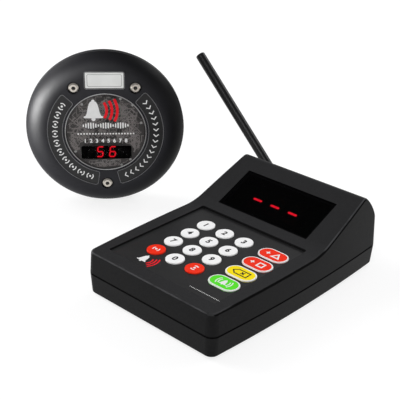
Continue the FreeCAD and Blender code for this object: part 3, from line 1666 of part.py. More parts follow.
cradle = slab("motor_cradle", pager_place, centred_box(
    -s.motor_left + s.motor_length / 2, -s.motor_down, s.cradle_length, s.cradle_width
), back_inner_z, motor_z)
channel = cylinder("cradle_channel", motor_place, motor_radius + s.cradle_gap, s.motor_length)
keep("motor_cradle", less("motor_cradle_cut", cradle, channel))

beeper_low = s.pager_board_low - s.beeper_thick
keep("pager_buzzer", turned(
    "pager_buzzer", pager_place.at(s.beeper_x, -s.beeper_down, beeper_low), [
        (0, 0), (s.beeper_round / 2, 0), (s.beeper_round / 2, s.beeper_thick), (0, s.beeper_thick),
    ]
))
CONTACT_HEAD_THICK = 0.8
contact_top = s.pager_wall + CONTACT_HEAD_THICK
contacts = [
    turned(f"charge_contact_{index}", pager_place.at(x, y, -face_z), [
        (0, 0), (s.contact_round / 2, 0), (s.contact_round / 2, s.pager_wall),
        (s.contact_head / 2, s.pager_wall), (s.contact_head / 2, contact_top), (0, contact_top),
    ])
    for index, (x, y) in enumerate(contact_spots)
]
keep("charge_contacts", group("charge_contacts", contacts))

# %% Check every object, then write each node

doc.recompute()
for thing in doc.Objects:
    if {"Invalid", "Error"} & set(thing.State):
        raise RuntimeError(f"{thing.Name} failed: {thing.State}")
for name, part in nodes.items():
    if part.Shape.isNull() or not part.Shape.isValid():
        raise RuntimeError(f"{name} has no valid shape")

os.makedirs("parts", exist_ok=True)
for name, part in nodes.items():
    part.Shape.exportStep(f"parts/{name}.step")
    print(f"{name}: {len(part.Shape.Solids)} solid(s), {part.Shape.Volume:.1f} mm3")
whole = Part.makeCompound([part.Shape for part in nodes.values()]).BoundBox
print(f"set: x {whole.XMin:.2f} to {whole.XMax:.2f}, y {whole.YMin:.2f} to {whole.YMax:.2f}, "
      f"z {whole.ZMin:.2f} to {whole.ZMax:.2f}")
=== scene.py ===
# %% [markdown]
# # A guest pager set, dressed for a render
#
# The solids of this object come ready from its CAD model: a desk transmitter and one coaster pager. This
# lesson gives each of them a finish, and adds what is too thin for the solids: printed numbers, marks, rims
# and the knurl of a sleeve. Everything is in metres, in the frame of the CAD model.

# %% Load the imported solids
import json
import math
import bpy
import numpy as np
from mathutils import Matrix, Vector


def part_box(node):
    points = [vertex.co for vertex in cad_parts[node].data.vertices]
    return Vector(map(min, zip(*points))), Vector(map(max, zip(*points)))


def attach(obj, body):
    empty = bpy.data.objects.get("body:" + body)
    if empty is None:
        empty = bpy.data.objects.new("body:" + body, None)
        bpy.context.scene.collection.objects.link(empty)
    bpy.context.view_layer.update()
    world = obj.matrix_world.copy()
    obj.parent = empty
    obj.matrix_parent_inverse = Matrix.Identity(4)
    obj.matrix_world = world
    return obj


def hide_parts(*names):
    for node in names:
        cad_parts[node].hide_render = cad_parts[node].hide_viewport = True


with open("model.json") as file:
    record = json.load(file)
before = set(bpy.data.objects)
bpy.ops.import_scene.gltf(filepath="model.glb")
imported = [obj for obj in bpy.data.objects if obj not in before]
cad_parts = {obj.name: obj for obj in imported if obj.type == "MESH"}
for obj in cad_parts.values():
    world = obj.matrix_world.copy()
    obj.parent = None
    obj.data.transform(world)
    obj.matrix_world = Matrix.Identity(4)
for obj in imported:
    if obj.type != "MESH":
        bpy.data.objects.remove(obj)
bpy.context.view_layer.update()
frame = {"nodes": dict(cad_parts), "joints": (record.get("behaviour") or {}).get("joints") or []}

# %% [markdown]
# ## Working planes
#
# A number on a key is easiest to draw flat, in millimetres, as a designer would. A working plane then carries
# it to its place. It holds an origin and three directions, and turns local (u, v, w) points into metres. The
# planes are read from the solids and the joints, so that a mark stays on the face that carries it.

# %% Working planes
MM = 0.001
joints = {joint["name"]: joint for joint in frame["joints"]}


class Plane:
    """Local millimetres to metres: origin + u * across + v * up + w * out."""

    def __init__(self, origin, across, out):
        self.origin = np.array(origin, float)
        self.across = np.array(across, float) / np.linalg.norm(across)
        self.out = np.array(out, float) / np.linalg.norm(out)
        self.up = np.cross(self.out, self.across)

    def place(self, points):
        points = np.asarray(points, float) * MM
        return self.origin + points @ np.array([self.across, self.up, self.out])

    def moved(self, u=0.0, v=0.0, w=0.0):
        return Plane(self.place((u, v, w)), self.across, self.out)


def points_of(mesh):
    """A mesh's points as one array."""
    points = np.empty(len(mesh.vertices) * 3)
    mesh.vertices.foreach_get("co", points)
    return points.reshape(-1, 3)


def middle(*names):
    """The middle of the box round some solids."""
    low = np.min([np.array(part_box(name)[0]) for name in names], axis=0)
    high = np.max([np.array(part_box(name)[1]) for name in names], axis=0)
    return (low + high) / 2


CASE_HALF_DEPTH = 81.75
FRONT_HEIGHT = 30.3
BEND_FROM_FRONT = 97.1
HOOD_SLOPE = math.radians(24.35)
case_middle = middle("upper_case")
deck_out = -np.array(joints["key_1_press"]["axis"])
deck_origin = (case_middle[0], case_middle[1] - CASE_HALF_DEPTH * MM, FRONT_HEIGHT * MM)
deck = Plane(deck_origin, (1, 0, 0), deck_out)
bend = deck_origin + np.array([0, 1, -deck_out[1] / deck_out[2]]) * BEND_FROM_FRONT * MM
hood = Plane(bend, (1, 0, 0), (0, -math.sin(HOOD_SLOPE), math.cos(HOOD_SLOPE)))
pager_across = np.array(joints["motor_spin"]["axis"])
pager = Plane(middle("pager_lens"), pager_across, (pager_across[1], -pager_across[0], 0))
jack = Plane(joints["antenna_swivel"]["pos_m"], (-1, 0, 0), (0, 1, 0))


def top_of(name, plane):
    """How far a solid's outermost point lies over a plane, in millimetres."""
    points = points_of(frame["nodes"][name].data)
    return float(((points - plane.origin) @ plane.out).max() / MM)


def spot_of(name, plane):
    """Where the middle of a solid lies on a plane, as (u, v) in millimetres."""
    away = (middle(name) - plane.origin) / MM
    return float(away @ plane.across), float(away @ plane.up)


for name, plane in (("keypad_overlay", deck), ("key_1", deck), ("digit_modules", hood),
                    ("insert_card", pager), ("pager_lens", pager), ("arc_panel_left", pager)):
    print(name, "top", round(top_of(name, plane), 3), "spot", np.round(spot_of(name, plane), 2))

# %% [markdown]
# ## Lofted surfaces
#
# A thin printed bar, a rim and a knurled sleeve are all the same kind of shape: a closed outline that is
# carried along a path. Numpy holds it as one array of rings, so a whole surface is worked out at once, and
# one function joins neighbouring rings with faces. A signed volume tells whether the faces point outwards.


# %% Lofted surfaces
def loft(rings, closed=False):
    """Vertices and faces through rings of points.

    Point j of ring i joins point j of ring i + 1. A closed loft joins its last ring to its first, an open
    one gets a flat face at each end. The volume is the sum over the faces' fans of a . (b x c) / 6.
    """
    rings = np.asarray(rings, float)
    count, around, _ = rings.shape
    index = np.arange(count * around).reshape(count, around)
    start = index if closed else index[:-1]
    end = np.roll(index, -1, axis=0) if closed else index[1:]
    quads = np.stack([start, end, np.roll(end, -1, axis=1), np.roll(start, -1, axis=1)], axis=-1)
    faces = quads.reshape(-1, 4).tolist()
    if not closed:
        faces += [index[0].tolist(), index[-1][::-1].tolist()]
    points = rings.reshape(-1, 3)
    centred = points - points.mean(axis=0)
    volume = sum(
        np.dot(centred[face[0]], np.cross(centred[face[k]], centred[face[k + 1]]))
        for face in faces for k in range(1, len(face) - 1)
    )
    return points, faces if volume > 0 else [face[::-1] for face in faces]


def merged(parts):
    """Several lofts as one list of points and faces, each keeping its own points."""
    points, faces, offset = [], [], 0
    for part_points, part_faces in parts:
        points.append(part_points)
        faces += [[index + offset for index in face] for face in part_faces]
        offset += len(part_points)
    return np.concatenate(points), faces


def new_object(name, data):
    """Puts a mesh, a text, a lamp or a camera into the scene."""
    made = bpy.data.objects.new(name, data)
    bpy.context.scene.collection.objects.link(made)
    return made


def place_piece(name, mesh, finish, body):
    """Makes one object from a mesh, gives it a finish and lets it ride on a body."""
    mesh.materials.clear()
    mesh.materials.append(finish)
    piece = new_object(name, mesh)
    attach(piece, body)
    print(name, "has", len(mesh.polygons), "faces and rides on", body)
    return piece


def add_piece(name, parts, body, finish, smooth=False):
    """Makes one object from lofts in metres."""
    points, faces = merged(parts)
    mesh = bpy.data.meshes.new(name)
    mesh.from_pydata(points.tolist(), [], faces)
    mesh.polygons.foreach_set("use_smooth", np.full(len(mesh.polygons), smooth))
    mesh.update()
    return place_piece(name, mesh, finish, body)


# %% [markdown]
# ## Shader sums written as Python
#
# A finish is a small network of nodes. Written node by node it hides its idea, so a wrapped socket takes part
# in ordinary sums: `grain * 0.3 + 0.5` adds two Math nodes. Everything else goes through one method that
# takes the kind of node, its settings and its inputs. A material and the sky are both such networks.


# %% Shader sums written as Python
class Signal:
    """A value on its way through a network of nodes."""

    def __init__(self, network, socket):
        self.network = network
        self.socket = socket

    def math(self, operation, *others):
        inputs = dict(enumerate([self, *others]))
        return self.network.node("ShaderNodeMath", {"operation": operation}, inputs)

    def __add__(self, other): return self.math("ADD", other)
    def __radd__(self, other): return self.math("ADD", other)
    def __sub__(self, other): return self.math("SUBTRACT", other)
    def __rsub__(self, other): return (self * -1.0) + other
    def __mul__(self, other): return self.math("MULTIPLY", other)
    def __rmul__(self, other): return self.math("MULTIPLY", other)
    def __neg__(self): return self * -1.0
    def __abs__(self): return self.math("ABSOLUTE")
    def largest(self, other): return self.math("MAXIMUM", other)

    def rise(self, low, high):
        """0 below low, 1 above high and a smooth step between."""
        inputs = {"Value": self, "From Min": low, "From Max": high}
        return self.network.node("ShaderNodeMapRange", {"interpolation_type": "SMOOTHSTEP"}, inputs)


class Network:
    """The nodes of a material or of the sky."""

    def __init__(self, tree):
        self.tree = tree

    def node(self, kind, settings=None, inputs=None, output=0):
        """Adds a node: its settings first, or a ramp's stops, then each input as a value or a link."""
        made = self.tree.nodes.new(kind)
        for key, value in (settings or {}).items():
            if key == "stops":
                for stop, (position, colour) in zip(made.color_ramp.elements, value):
                    stop.position, stop.color = position, colour
            else:
                setattr(made, key, value)
        for key, value in (inputs or {}).items():
            self.feed(made.inputs[key], value)
        return Signal(self, made.outputs[output])

    def feed(self, socket, value):
        """Links a signal to a socket, or sets the socket to a plain value."""
        if isinstance(value, Signal):
            self.tree.links.new(value.socket, socket)
        else:
            socket.default_value = value

    def coordinates(self, which="Object"):
        return self.node("ShaderNodeTexCoord", output=which)

    def parts(self, vector):
        split = self.node("ShaderNodeSeparateXYZ", inputs={0: vector}).socket.node
        return [Signal(self, output) for output in split.outputs]

    def noise(self, per_metre, detail=2.0, roughness=0.5, vector=None):
        """Soft random values from 0 to 1 with about per_metre bumps to the metre."""
        inputs = {
            "Vector": vector or self.coordinates(), "Scale": per_metre, "Detail": detail,
            "Roughness": roughness,
        }
        return self.node("ShaderNodeTexNoise", inputs=inputs)

    def blend(self, share, first, second):
        """Mixes two colours, or a colour and a link, by a share from 0 to 1."""
        colours = {0: share, 6: as_colour(first), 7: as_colour(second)}
        return self.node("ShaderNodeMix", {"data_type": "RGBA", "clamp_factor": True}, colours, output=2)

    def relief(self, height, depth, strength=1.0):
        """A bump whose full height is depth metres."""
        inputs = {"Height": height, "Distance": depth, "Strength": strength}
        return self.node("ShaderNodeBump", inputs=inputs)


class Finish(Network):
    """A material under construction. Its shader is one Principled BSDF."""

    def __init__(self, name):
        self.material = bpy.data.materials.new(name)
        self.material.use_nodes = True
        super().__init__(self.material.node_tree)
        self.shader = self.tree.nodes["Principled BSDF"]

    def finished(self, **sockets):
        """Sets or links the shader's sockets, written with _ for a space."""
        for key, value in sockets.items():
            self.feed(self.shader.inputs[key.replace("_", " ")], as_colour(value))
        print("finish", self.material.name, "has", len(self.tree.nodes), "nodes")
        return self.material


def as_colour(value):
    """Three channels get an alpha of 1. Anything else stays as it is."""
    return (*value, 1.0) if isinstance(value, tuple) and len(value) == 3 else value


def tone(colour, factor):
    """A colour made darker or paler, each channel at most 1."""
    return tuple(min(1.0, channel * factor) for channel in colour)


# %% [markdown]
# ## Moulded plastic
#
# Textured black ABS is not one colour. The mould's spark texture scatters light at every grain, and the
# surface is a little uneven over centimetres: three noises at three sizes carry this. The case's colour also
# carries painted light and shade: its upward faces are painted paler, a painted highlight broken by a little
# wear runs along its front edge and the hood's side edges, and painted shade darkens the rest of its side
# edges and the groove at the parting line. Painting these by hand would tie them to one mesh. Here they are
# found from the surface's own direction and height: a rounded top edge is where the normal leans halfway
# between up and sideways.


# %% Painted light and shade on the case
PARTING_HEIGHT = 0.0154
GROOVE_REACH = (0.0004, 0.0009)
ABOVE_GROOVE = (0.0180, 0.0200)
ON_HOOD = (0.0325, 0.0345)
FRONT_CORNERS = (-0.082, -0.070)


def case_wear(finish):
    """Three masks over the case: painted light on faces that look up, a painted highlight on edges, and
    painted shade.

    An edge is where the normal leans sideways or forwards, but not all the way, and also points up. The
    front edge, the corners beside it and the inner half of the hood's side edges get the painted highlight.
    The rest of the side edges and the groove at the parting line get painted shade. Every limit is a pair
    between which the mask rises: shares of a unit normal, or metres in the case's frame.
    """
    x, y, z = finish.parts(finish.coordinates("Normal"))
    along, height = finish.parts(finish.coordinates())[1:]
    upper = z.rise(0.15, 0.35) * height.rise(*ABOVE_GROOVE)
    side = abs(x)
    side_edge = side.rise(0.25, 0.45) * (1 - side.rise(0.93, 0.99)) * upper
    front = -y
    front_edge = front.rise(0.48, 0.62) * (1 - front.rise(0.86, 0.96)) * upper
    highlit_places = height.rise(*ON_HOOD).largest(1 - along.rise(*FRONT_CORNERS))
    inner_half = side.rise(0.04, 0.16) * (1 - side.rise(0.56, 0.72))
    painted_edge_highlight = (inner_half * highlit_places * upper).largest(front_edge)
    groove = 1 - abs(height - PARTING_HEIGHT).rise(*GROOVE_REACH)
    # Painted light: a paler top, a painted highlight along the edges, and painted shade on the side edges and
    # in the groove.
    return z.rise(0.8, 0.96), painted_edge_highlight, (side_edge * (1 - painted_edge_highlight)).largest(groove)


# %% Moulded plastic
TOP_LIGHT_TONE, EDGE_HIGHLIGHT_TONE, PAINTED_SHADE_TONE = 3.6, 9.0, 0.1


def moulded(name, colour, gloss=0.45, grain_per_metre=2600.0, grain_depth=0.00006, case_light_strength=0.0, shine=0.5):
    """Two tones of one colour, mixed by mottle and cloud, and a fine grain as relief.

    A strength above 0 for the case's painted light adds it on top: painted paler where it looks up, a
    painted highlight with a little wear along the edges, and painted shade, nearly black, on the side edges
    and in the groove.
    """
    finish = Finish(name)
    grain = finish.noise(grain_per_metre, 2.0)
    mottle = finish.noise(520.0, 3.0, 0.6)
    cloud = finish.noise(26.0, 4.0, 0.55)
    shade = mottle * 0.5 + cloud * 0.5
    base = finish.blend(shade.rise(0.3, 0.7), tone(colour, 0.72), tone(colour, 1.3))
    rough = (grain - 0.5) * 0.22 + (cloud - 0.5) * 0.12 + gloss
    if case_light_strength:
        # Painted light and shade: upward faces painted paler, a painted highlight with a little wear along
        # the edges, painted shade in the groove and on the side edges.
        painted_top_light, painted_edge_highlight, painted_shade = case_wear(finish)
        edge_highlight_and_wear = painted_edge_highlight * finish.noise(90.0, 4.0).rise(0.2, 0.6)
        base = finish.blend(painted_top_light * (mottle * 0.4 + 0.7), base, tone(colour, TOP_LIGHT_TONE))
        base = finish.blend(edge_highlight_and_wear * case_light_strength, base, tone(colour, EDGE_HIGHLIGHT_TONE))
        base = finish.blend(painted_shade, base, tone(colour, PAINTED_SHADE_TONE))
        rough = rough - edge_highlight_and_wear * 0.16 + painted_shade * 0.4
    return finish.finished(
        Base_Color=base, Roughness=rough, Normal=finish.relief(grain * 0.7 + mottle * 0.3, grain_depth),
        Specular_IOR_Level=shine,
    )


# The case's colour carries painted light and shade, at the strength given here.
case_black = moulded("case_black", (0.0066, 0.0066, 0.0069), 0.5, case_light_strength=0.9, grain_depth=0.00008, shine=0.08)
pager_black = moulded("pager_black", (0.0013, 0.0013, 0.0018), 0.48, grain_depth=0.00003, shine=0.12)
# A pale grey that paints a highlight on the beads round the pager's pockets.
painted_highlight_grey = moulded("painted_highlight_grey", (0.14, 0.14, 0.145), 0.3, grain_depth=0.00002)
antenna_black = moulded("antenna_black", (0.004, 0.004, 0.0042), 0.3, grain_depth=0.00003, shine=0.25)
chip_black = moulded("chip_black", (0.02, 0.02, 0.021), 0.5, grain_depth=0.00003)
foot_rubber = moulded("foot_rubber", (0.014, 0.014, 0.014), 0.8, grain_per_metre=1800.0)
module_grey = moulded("module_grey", (0.02, 0.02, 0.022), 0.6)
silicone = moulded("silicone", (0.5, 0.51, 0.5), 0.6)
battery_grey = moulded("battery_grey", (0.42, 0.43, 0.45), 0.38, grain_per_metre=700.0, grain_depth=0.00005)

# %% [markdown]
# ## Keys
#
# The caps are dyed through and lightly satin. Fingers leave a faint greyness that gathers in patches, and
# the colour is a little deeper where the plastic is thick. One function serves the white, red, yellow and
# green caps, and only the dye changes.


# %% Keys
def key_cap(name, dye, shadow, shine=0.12):
    """The dye, moved towards its shadow by up to 0.35 in patches and 0.12 in specks."""
    finish = Finish(name)
    patches = finish.noise(210.0, 4.0, 0.6)
    specks = finish.noise(1900.0, 2.0)
    base = finish.blend(patches.rise(0.35, 0.75) * 0.35 + specks * 0.12, dye, shadow)
    return finish.finished(
        Base_Color=base, Roughness=0.36 + (patches - 0.5) * 0.2,
        Normal=finish.relief(specks, 0.00002), Specular_IOR_Level=shine,
    )


key_white = key_cap("key_white", (0.96, 0.96, 0.955), (0.88, 0.88, 0.875))
key_red = key_cap("key_red", (0.93, 0.030, 0.006), (0.78, 0.018, 0.005))
key_yellow = key_cap("key_yellow", (1.0, 0.80, 0.0), (0.94, 0.68, 0.0))
key_green = key_cap("key_green", (0.11, 0.80, 0.025), (0.07, 0.66, 0.02))
legend_black = key_cap("legend_black", (0.015, 0.015, 0.016), (0.03, 0.03, 0.03))
print_white = key_cap("print_white", (0.90, 0.90, 0.89), (0.78, 0.78, 0.775))
print_grey = key_cap("print_grey", (0.34, 0.34, 0.33), (0.24, 0.24, 0.24))
print_red = key_cap("print_red", (0.86, 0.016, 0.026), (0.66, 0.010, 0.018))

# %% [markdown]
# ## Films, windows and lamps
#
# The keypad's overlay is a polyester film, smoother than the case round it. The display's window is dark
# acrylic: light from the digits passes through it and the rest of the inside stays hidden. A real acrylic
# sheet absorbs light along its depth. Here each of its two faces lets a share through, which is quicker and
# survives an export. Its base and shine stay very low, because a nearly clear face that picks up the sky at
# a few samples would speckle the black behind it. What glows behind it is an emitting shader whose colour is
# uneven, as a lit bar is.


# %% Films, windows and lamps
def film(name, colour, gloss):
    """Two close tones mixed by a cloud, with a weave far finer than the eye resolves."""
    finish = Finish(name)
    weave = finish.noise(3400.0, 1.0)
    cloud = finish.noise(34.0, 3.0)
    base = finish.blend(cloud.rise(0.3, 0.7), tone(colour, 0.9), tone(colour, 1.12))
    return finish.finished(
        Base_Color=base, Roughness=gloss + (cloud - 0.5) * 0.12, Normal=finish.relief(weave, 0.000015),
        Specular_IOR_Level=0.35,
    )


def clear(name, colour, hidden, gloss=0.05, shine=0.4, glued=None):
    """A see-through sheet: hidden is the share of light that one face stops.

    A face that is glued to another sheet stops nothing. It is given as a plane that lies just under it, and
    all that lies over that plane, measured along the plane's outward direction, lets the light through.
    """
    finish = Finish(name)
    smear = finish.noise(60.0, 4.0, 0.6)
    base = finish.blend(smear, colour, tone(colour, 1.5))
    stopped = smear * 0.02 + hidden
    if glued is not None:
        x, y, z = (part * float(way) for part, way in zip(finish.parts(finish.coordinates()), glued.out))
        over = x + y + z - float(glued.origin @ glued.out)
        stopped = stopped * (1 - over.rise(-0.0001, 0.0001))
    return finish.finished(
        Base_Color=base, Roughness=gloss + smear.rise(0.55, 0.8) * 0.06, Alpha=stopped,
        Specular_IOR_Level=shine,
    )


def lamp(name, colour, strength):
    """A glow whose colour ripples between 0.8 and 1 times the lamp's own."""
    finish = Finish(name)
    ripple = finish.noise(700.0, 2.0)
    glow = finish.blend(ripple.rise(0.3, 0.7), tone(colour, 0.8), colour)
    return finish.finished(
        Base_Color=tone(colour, 0.3), Emission_Color=glow, Emission_Strength=strength, Roughness=0.5
    )


overlay_black = film("overlay_black", (0.0100, 0.0100, 0.0103), 0.42)
window_black = clear("window_black", (0.0005, 0.0005, 0.0006), 0.76, shine=0.02)
UNDER_FACE = 0.4
glued_face = pager.moved(w=top_of("pager_filter", pager) - UNDER_FACE)
filter_black = clear("filter_black", (0.0005, 0.0004, 0.0004), 0.84, shine=0.02, glued=glued_face)
lens_clear = clear("lens_clear", (0.004, 0.004, 0.0045), 0.02, shine=0.15)
lit_red = lamp("lit_red", (1.0, 0.010, 0.030), 13.5)
lit_red_pager = lamp("lit_red_pager", (1.0, 0.008, 0.022), 5.5)
unlit_red = moulded("unlit_red", (0.16, 0.012, 0.014), 0.5)

# %% [markdown]
# ## Metals, boards and print
#
# Turned steel shows fine rings, plated brass is smoother and warmer, and a drawn can has scratches along it.
# Stretching a noise along one axis gives scratches. Boards are green lacquer over copper: a brick pattern on
# a fine grid stands in for the tracks that show faintly through.


# %% Metals, boards and print
def metal(name, colour, gloss, scratches=(0.3, 0.3, 4.0), metallic=1.0):
    """A noise at 1000 to the metre, its coordinates scaled along x, y and z: below 1 draws it out."""
    finish = Finish(name)
    stretched = finish.node(
        "ShaderNodeMapping", {"vector_type": "POINT"}, {"Vector": finish.coordinates(), "Scale": scratches}
    )
    lines = finish.noise(1000.0, 2.0, vector=stretched)
    stain = finish.noise(240.0, 3.0)
    base = finish.blend(stain.rise(0.3, 0.75), colour, tone(colour, 0.88))
    return finish.finished(
        Base_Color=base, Metallic=metallic, Roughness=gloss + (lines - 0.5) * 0.16 + (stain - 0.5) * 0.05,
        Normal=finish.relief(lines, 0.00002),
    )


def board(name):
    """Green lacquer, paler and raised by 0.03 mm along the mortar lines of a fine brick pattern."""
    finish = Finish(name)
    tracks = finish.node(
        "ShaderNodeTexBrick", inputs={
            "Vector": finish.coordinates(), "Scale": 260.0, "Mortar Size": 0.06, "Mortar Smooth": 0.4,
            "Color1": (0, 0, 0, 1), "Color2": (0.2, 0.2, 0.2, 1), "Mortar": (1, 1, 1, 1),
        },
    )
    base = finish.blend(tracks.rise(0.2, 0.8) * 0.6, (0.006, 0.075, 0.022), (0.03, 0.16, 0.06))
    return finish.finished(
        Base_Color=base, Roughness=0.3 + finish.noise(90.0) * 0.15, Normal=finish.relief(tracks, 0.00003)
    )


screw_steel = metal("screw_steel", (0.60, 0.56, 0.50), 0.24)
motor_steel = metal("motor_steel", (0.52, 0.52, 0.53), 0.3, scratches=(4.0, 0.3, 4.0))
jack_brass = metal("jack_brass", (0.72, 0.52, 0.22), 0.25)
contact_gold = metal("contact_gold", (0.83, 0.60, 0.22), 0.2)
metal_black = metal("metal_black", (0.022, 0.022, 0.024), 0.32, metallic=0.4)
rim_silver = metal("rim_silver", (0.42, 0.42, 0.42), 0.3)
label_white = film("label_white", (0.87, 0.88, 0.86), 0.32)
board_green = board("board_green")
card_print = film("card_print", (0.045, 0.041, 0.040), 0.55)
track_grey = film("track_grey", (0.16, 0.145, 0.14), 0.5)
panel_print = film("panel_print", (0.013, 0.013, 0.0135), 0.4)

# %% [markdown]
# ## One finish for every solid
#
# Each solid keeps its shape and gets one finish. The list reads from the finish to the solids that wear it,
# so that a colour is chosen once for all its pieces, and the cell prints what it left bare.

# %% Give every CAD node its finish
NODE_FINISHES = {
    case_black: ["upper_case", "lower_case"],
    foot_rubber: ["rubber_feet"],
    overlay_black: ["keypad_overlay"],
    window_black: ["display_window"],
    silicone: ["keypad_mat"],
    board_green: ["keypad_board", "display_board", "main_board", "pager_board"],
    chip_black: ["main_board_parts", "beeper", "dc_jack", "pager_buzzer"],
    module_grey: ["digit_modules", "pager_digits"],
    lit_red: ["lit_segments"],
    lit_red_pager: ["pager_lit_segments"],
    screw_steel: [
        "case_screws", "keypad_screws", "display_screws", "main_screws", "pager_screws", "antenna_pin",
        "pager_board_screws",
    ],
    jack_brass: ["antenna_jack"],
    metal_black: ["antenna_nut"],
    antenna_black: ["antenna_coupling", "antenna_fork", "antenna_whip"],
    pager_black: ["pager_top", "pager_bottom", "motor_cradle"],
    lens_clear: ["pager_lens"],
    card_print: ["insert_card"],
    filter_black: ["pager_filter"],
    label_white: ["label_plate"],
    panel_print: ["arc_panel_left", "arc_panel_right"],
    battery_grey: ["pager_battery"],
    motor_steel: ["motor_can", "motor_weight"],
    contact_gold: ["charge_contacts", "pager_aerial"],
    key_white: [f"key_{digit}" for digit in range(10)],
    key_red: ["key_left", "key_right", "key_a", "key_b"],
    key_yellow: ["key_clear"],
    key_green: ["key_call"],
}
dressed = set()
for material, names in NODE_FINISHES.items():
    for name in names:
        node = frame["nodes"][name]
        node.data.materials.clear()
        node.data.materials.append(material)
        dressed.add(name)
print("dressed", len(dressed), "of", len(frame["nodes"]), "left", sorted(set(frame["nodes"]) - dressed))

# %% [markdown]
# ## Flat marks
#
# Ink is a few hundredths of a millimetre thick. A mark here is a closed slab as thin as that: a rectangle
# carried along a line, wide where the mark is wide. At a corner the two sides meet in a mitre, as in a
# picture frame. A bar's half width follows a circle at its two ends, and a bell's follows a bell curve.
# Where two marks cross, the second lies a hair higher, so that their tops don't coincide. Numbers come from
# Blender's own font and are turned into mesh before they are put in place.

# %% Ribbons
INK = 0.03
LIFT = 0.01
HAIR = 0.004


def round_points(angle, radius=1.0, u=0.0, v=0.0):
    """Points of a circle at angles in radians: (u + r cos a, v + r sin a)."""
    return np.column_stack([u + radius * np.cos(angle), v + radius * np.sin(angle)])


def ribbon(plane, line, half_width, low=LIFT, thick=INK, closed=False):
    """A slab along a line of (u, v) points, half_width to each side.

    Each point moves out along m = (n1 + n2) / (1 + n1 . n2), where n1 and n2 are the normals of the two
    runs that meet there. At an end of an open line both are the same.
    """
    line = np.asarray(line, float)
    half_width = np.broadcast_to(np.asarray(half_width, float), len(line))
    steps = (np.roll(line, -1, axis=0) - line) if closed else np.diff(line, axis=0)
    steps /= np.linalg.norm(steps, axis=1, keepdims=True)
    normals = np.stack([-steps[:, 1], steps[:, 0]], axis=1)
    before = np.roll(normals, 1, axis=0) if closed else np.vstack([normals[:1], normals])
    after = normals if closed else np.vstack([normals, normals[-1:]])
    mitre = (before + after) / (1 + (before * after).sum(axis=1, keepdims=True))
    side = mitre * half_width[:, None]
    corners = [(side, low), (-side, low), (-side, low + thick), (side, low + thick)]
    rings = np.stack(
        [np.column_stack([line + edge, np.full(len(line), level)]) for edge, level in corners], axis=1
    )
    return loft(plane.place(rings), closed)


def bar(plane, start, end, width, steps=24, **slab):
    """A bar with round ends between two points: near an end its half width is that of a circle."""
    start, end = np.array(start, float), np.array(end, float)
    length = np.linalg.norm(end - start)
    t = (1 - np.cos(np.linspace(0, math.pi, steps))) / 2
    inside = np.clip(np.minimum(t, 1 - t) * length / (width / 2), 0, 1)
    half = width / 2 * np.sqrt(np.clip(1 - (1 - inside) ** 2, 0.0004, 1))
    return ribbon(plane, start + (end - start) * t[:, None], half, **slab)


# %% Arcs, discs and polygons
def arc_mark(plane, radius, start, end, half_width, u=0.0, v=0.0, steps=24, **slab):
    """A band along a circle of the given radius, from one angle to another in degrees."""
    angle = np.radians(np.linspace(start, end, steps))
    return ribbon(plane, round_points(angle, radius, u, v), half_width, **slab)


def dot(plane, u, v, radius, low=LIFT, thick=INK, corners=24):
    """A disc: one ring below, one above."""
    circle = round_points(np.linspace(0, 2 * math.pi, corners, endpoint=False), radius, u, v)
    rings = [np.column_stack([circle, np.full(len(circle), level)]) for level in (low, low + thick)]
    return loft(plane.place(rings))


def polygon(plane, u, v, radius, corners, half_width, turn=90.0):
    """The outline of an even polygon, its first corner at the given turn."""
    angle = np.radians(turn + np.arange(corners) * 360.0 / corners)
    return ribbon(plane, round_points(angle, radius, u, v), half_width, closed=True)


# %% Plus signs, waves and bells
def plus(plane, u, v, reach, width):
    """Two crossed bars."""
    return [
        bar(plane, (u - reach, v), (u + reach, v), width),
        bar(plane, (u, v - reach), (u, v + reach), width, low=LIFT + HAIR),
    ]


def sound_waves(plane, radii, half_angle, half_width, u=0.0, v=0.0, facings=(0.0,), steps=24):
    """Arcs round a point, one of each radius on every side that is faced, in degrees."""
    return [
        arc_mark(plane, radius, facing - half_angle, facing + half_angle, half_width, u, v, steps)
        for radius in radii for facing in facings
    ]


def bell(plane, u, v, size, steps=26):
    """A bell: its half width is a bell curve turned upside down, flared at the lip, with a clapper.

    At the share t of its height from the top, the half width is 0.10 + 0.28 sqrt(1 - (1 - t)^2) + 0.14 t^5
    times the size.
    """
    t = np.linspace(0, 1, steps)
    half = size * (0.10 + 0.28 * np.sqrt(np.clip(1 - (1 - t) ** 2, 0, 1)) + 0.14 * t ** 5)
    line = np.column_stack([np.full(steps, u), v + size * (0.62 - t)])
    lip = v - size * 0.40
    return [
        ribbon(plane, line, half),
        bar(plane, (u - size * 0.60, lip), (u + size * 0.60, lip), size * 0.14, low=LIFT + HAIR),
        dot(plane, u, v - size * 0.53, size * 0.13, low=LIFT + 2 * HAIR),
        dot(plane, u, v + size * 0.64, size * 0.10, low=LIFT + 2 * HAIR),
    ]


# %% Numbers
def lettering(name, text, plane, height, body, finish, bold=0.036):
    """A row of figures, scaled to a height and laid on a plane with its middle at the origin."""
    curve = bpy.data.curves.new(name, "FONT")
    curve.body = text
    curve.size = 1.0
    curve.offset = bold
    curve.extrude = 0.02
    curve.resolution_u = 5
    drawn = new_object(name + "_drawn", curve)
    bpy.context.view_layer.update()
    graph = bpy.context.evaluated_depsgraph_get()
    mesh = bpy.data.meshes.new_from_object(drawn.evaluated_get(graph))
    bpy.data.objects.remove(drawn)
    points = points_of(mesh)
    low, high = points.min(axis=0), points.max(axis=0)
    scale = height / (high[1] - low[1])
    flat = (points - (low + high) / 2) * [scale, scale, 0]
    flat[:, 2] = LIFT + (points[:, 2] - low[2]) / (high[2] - low[2]) * INK
    mesh.vertices.foreach_set("co", plane.place(flat).ravel())
    mesh.update()
    mesh.name = name
    return place_piece(name, mesh, finish, body)


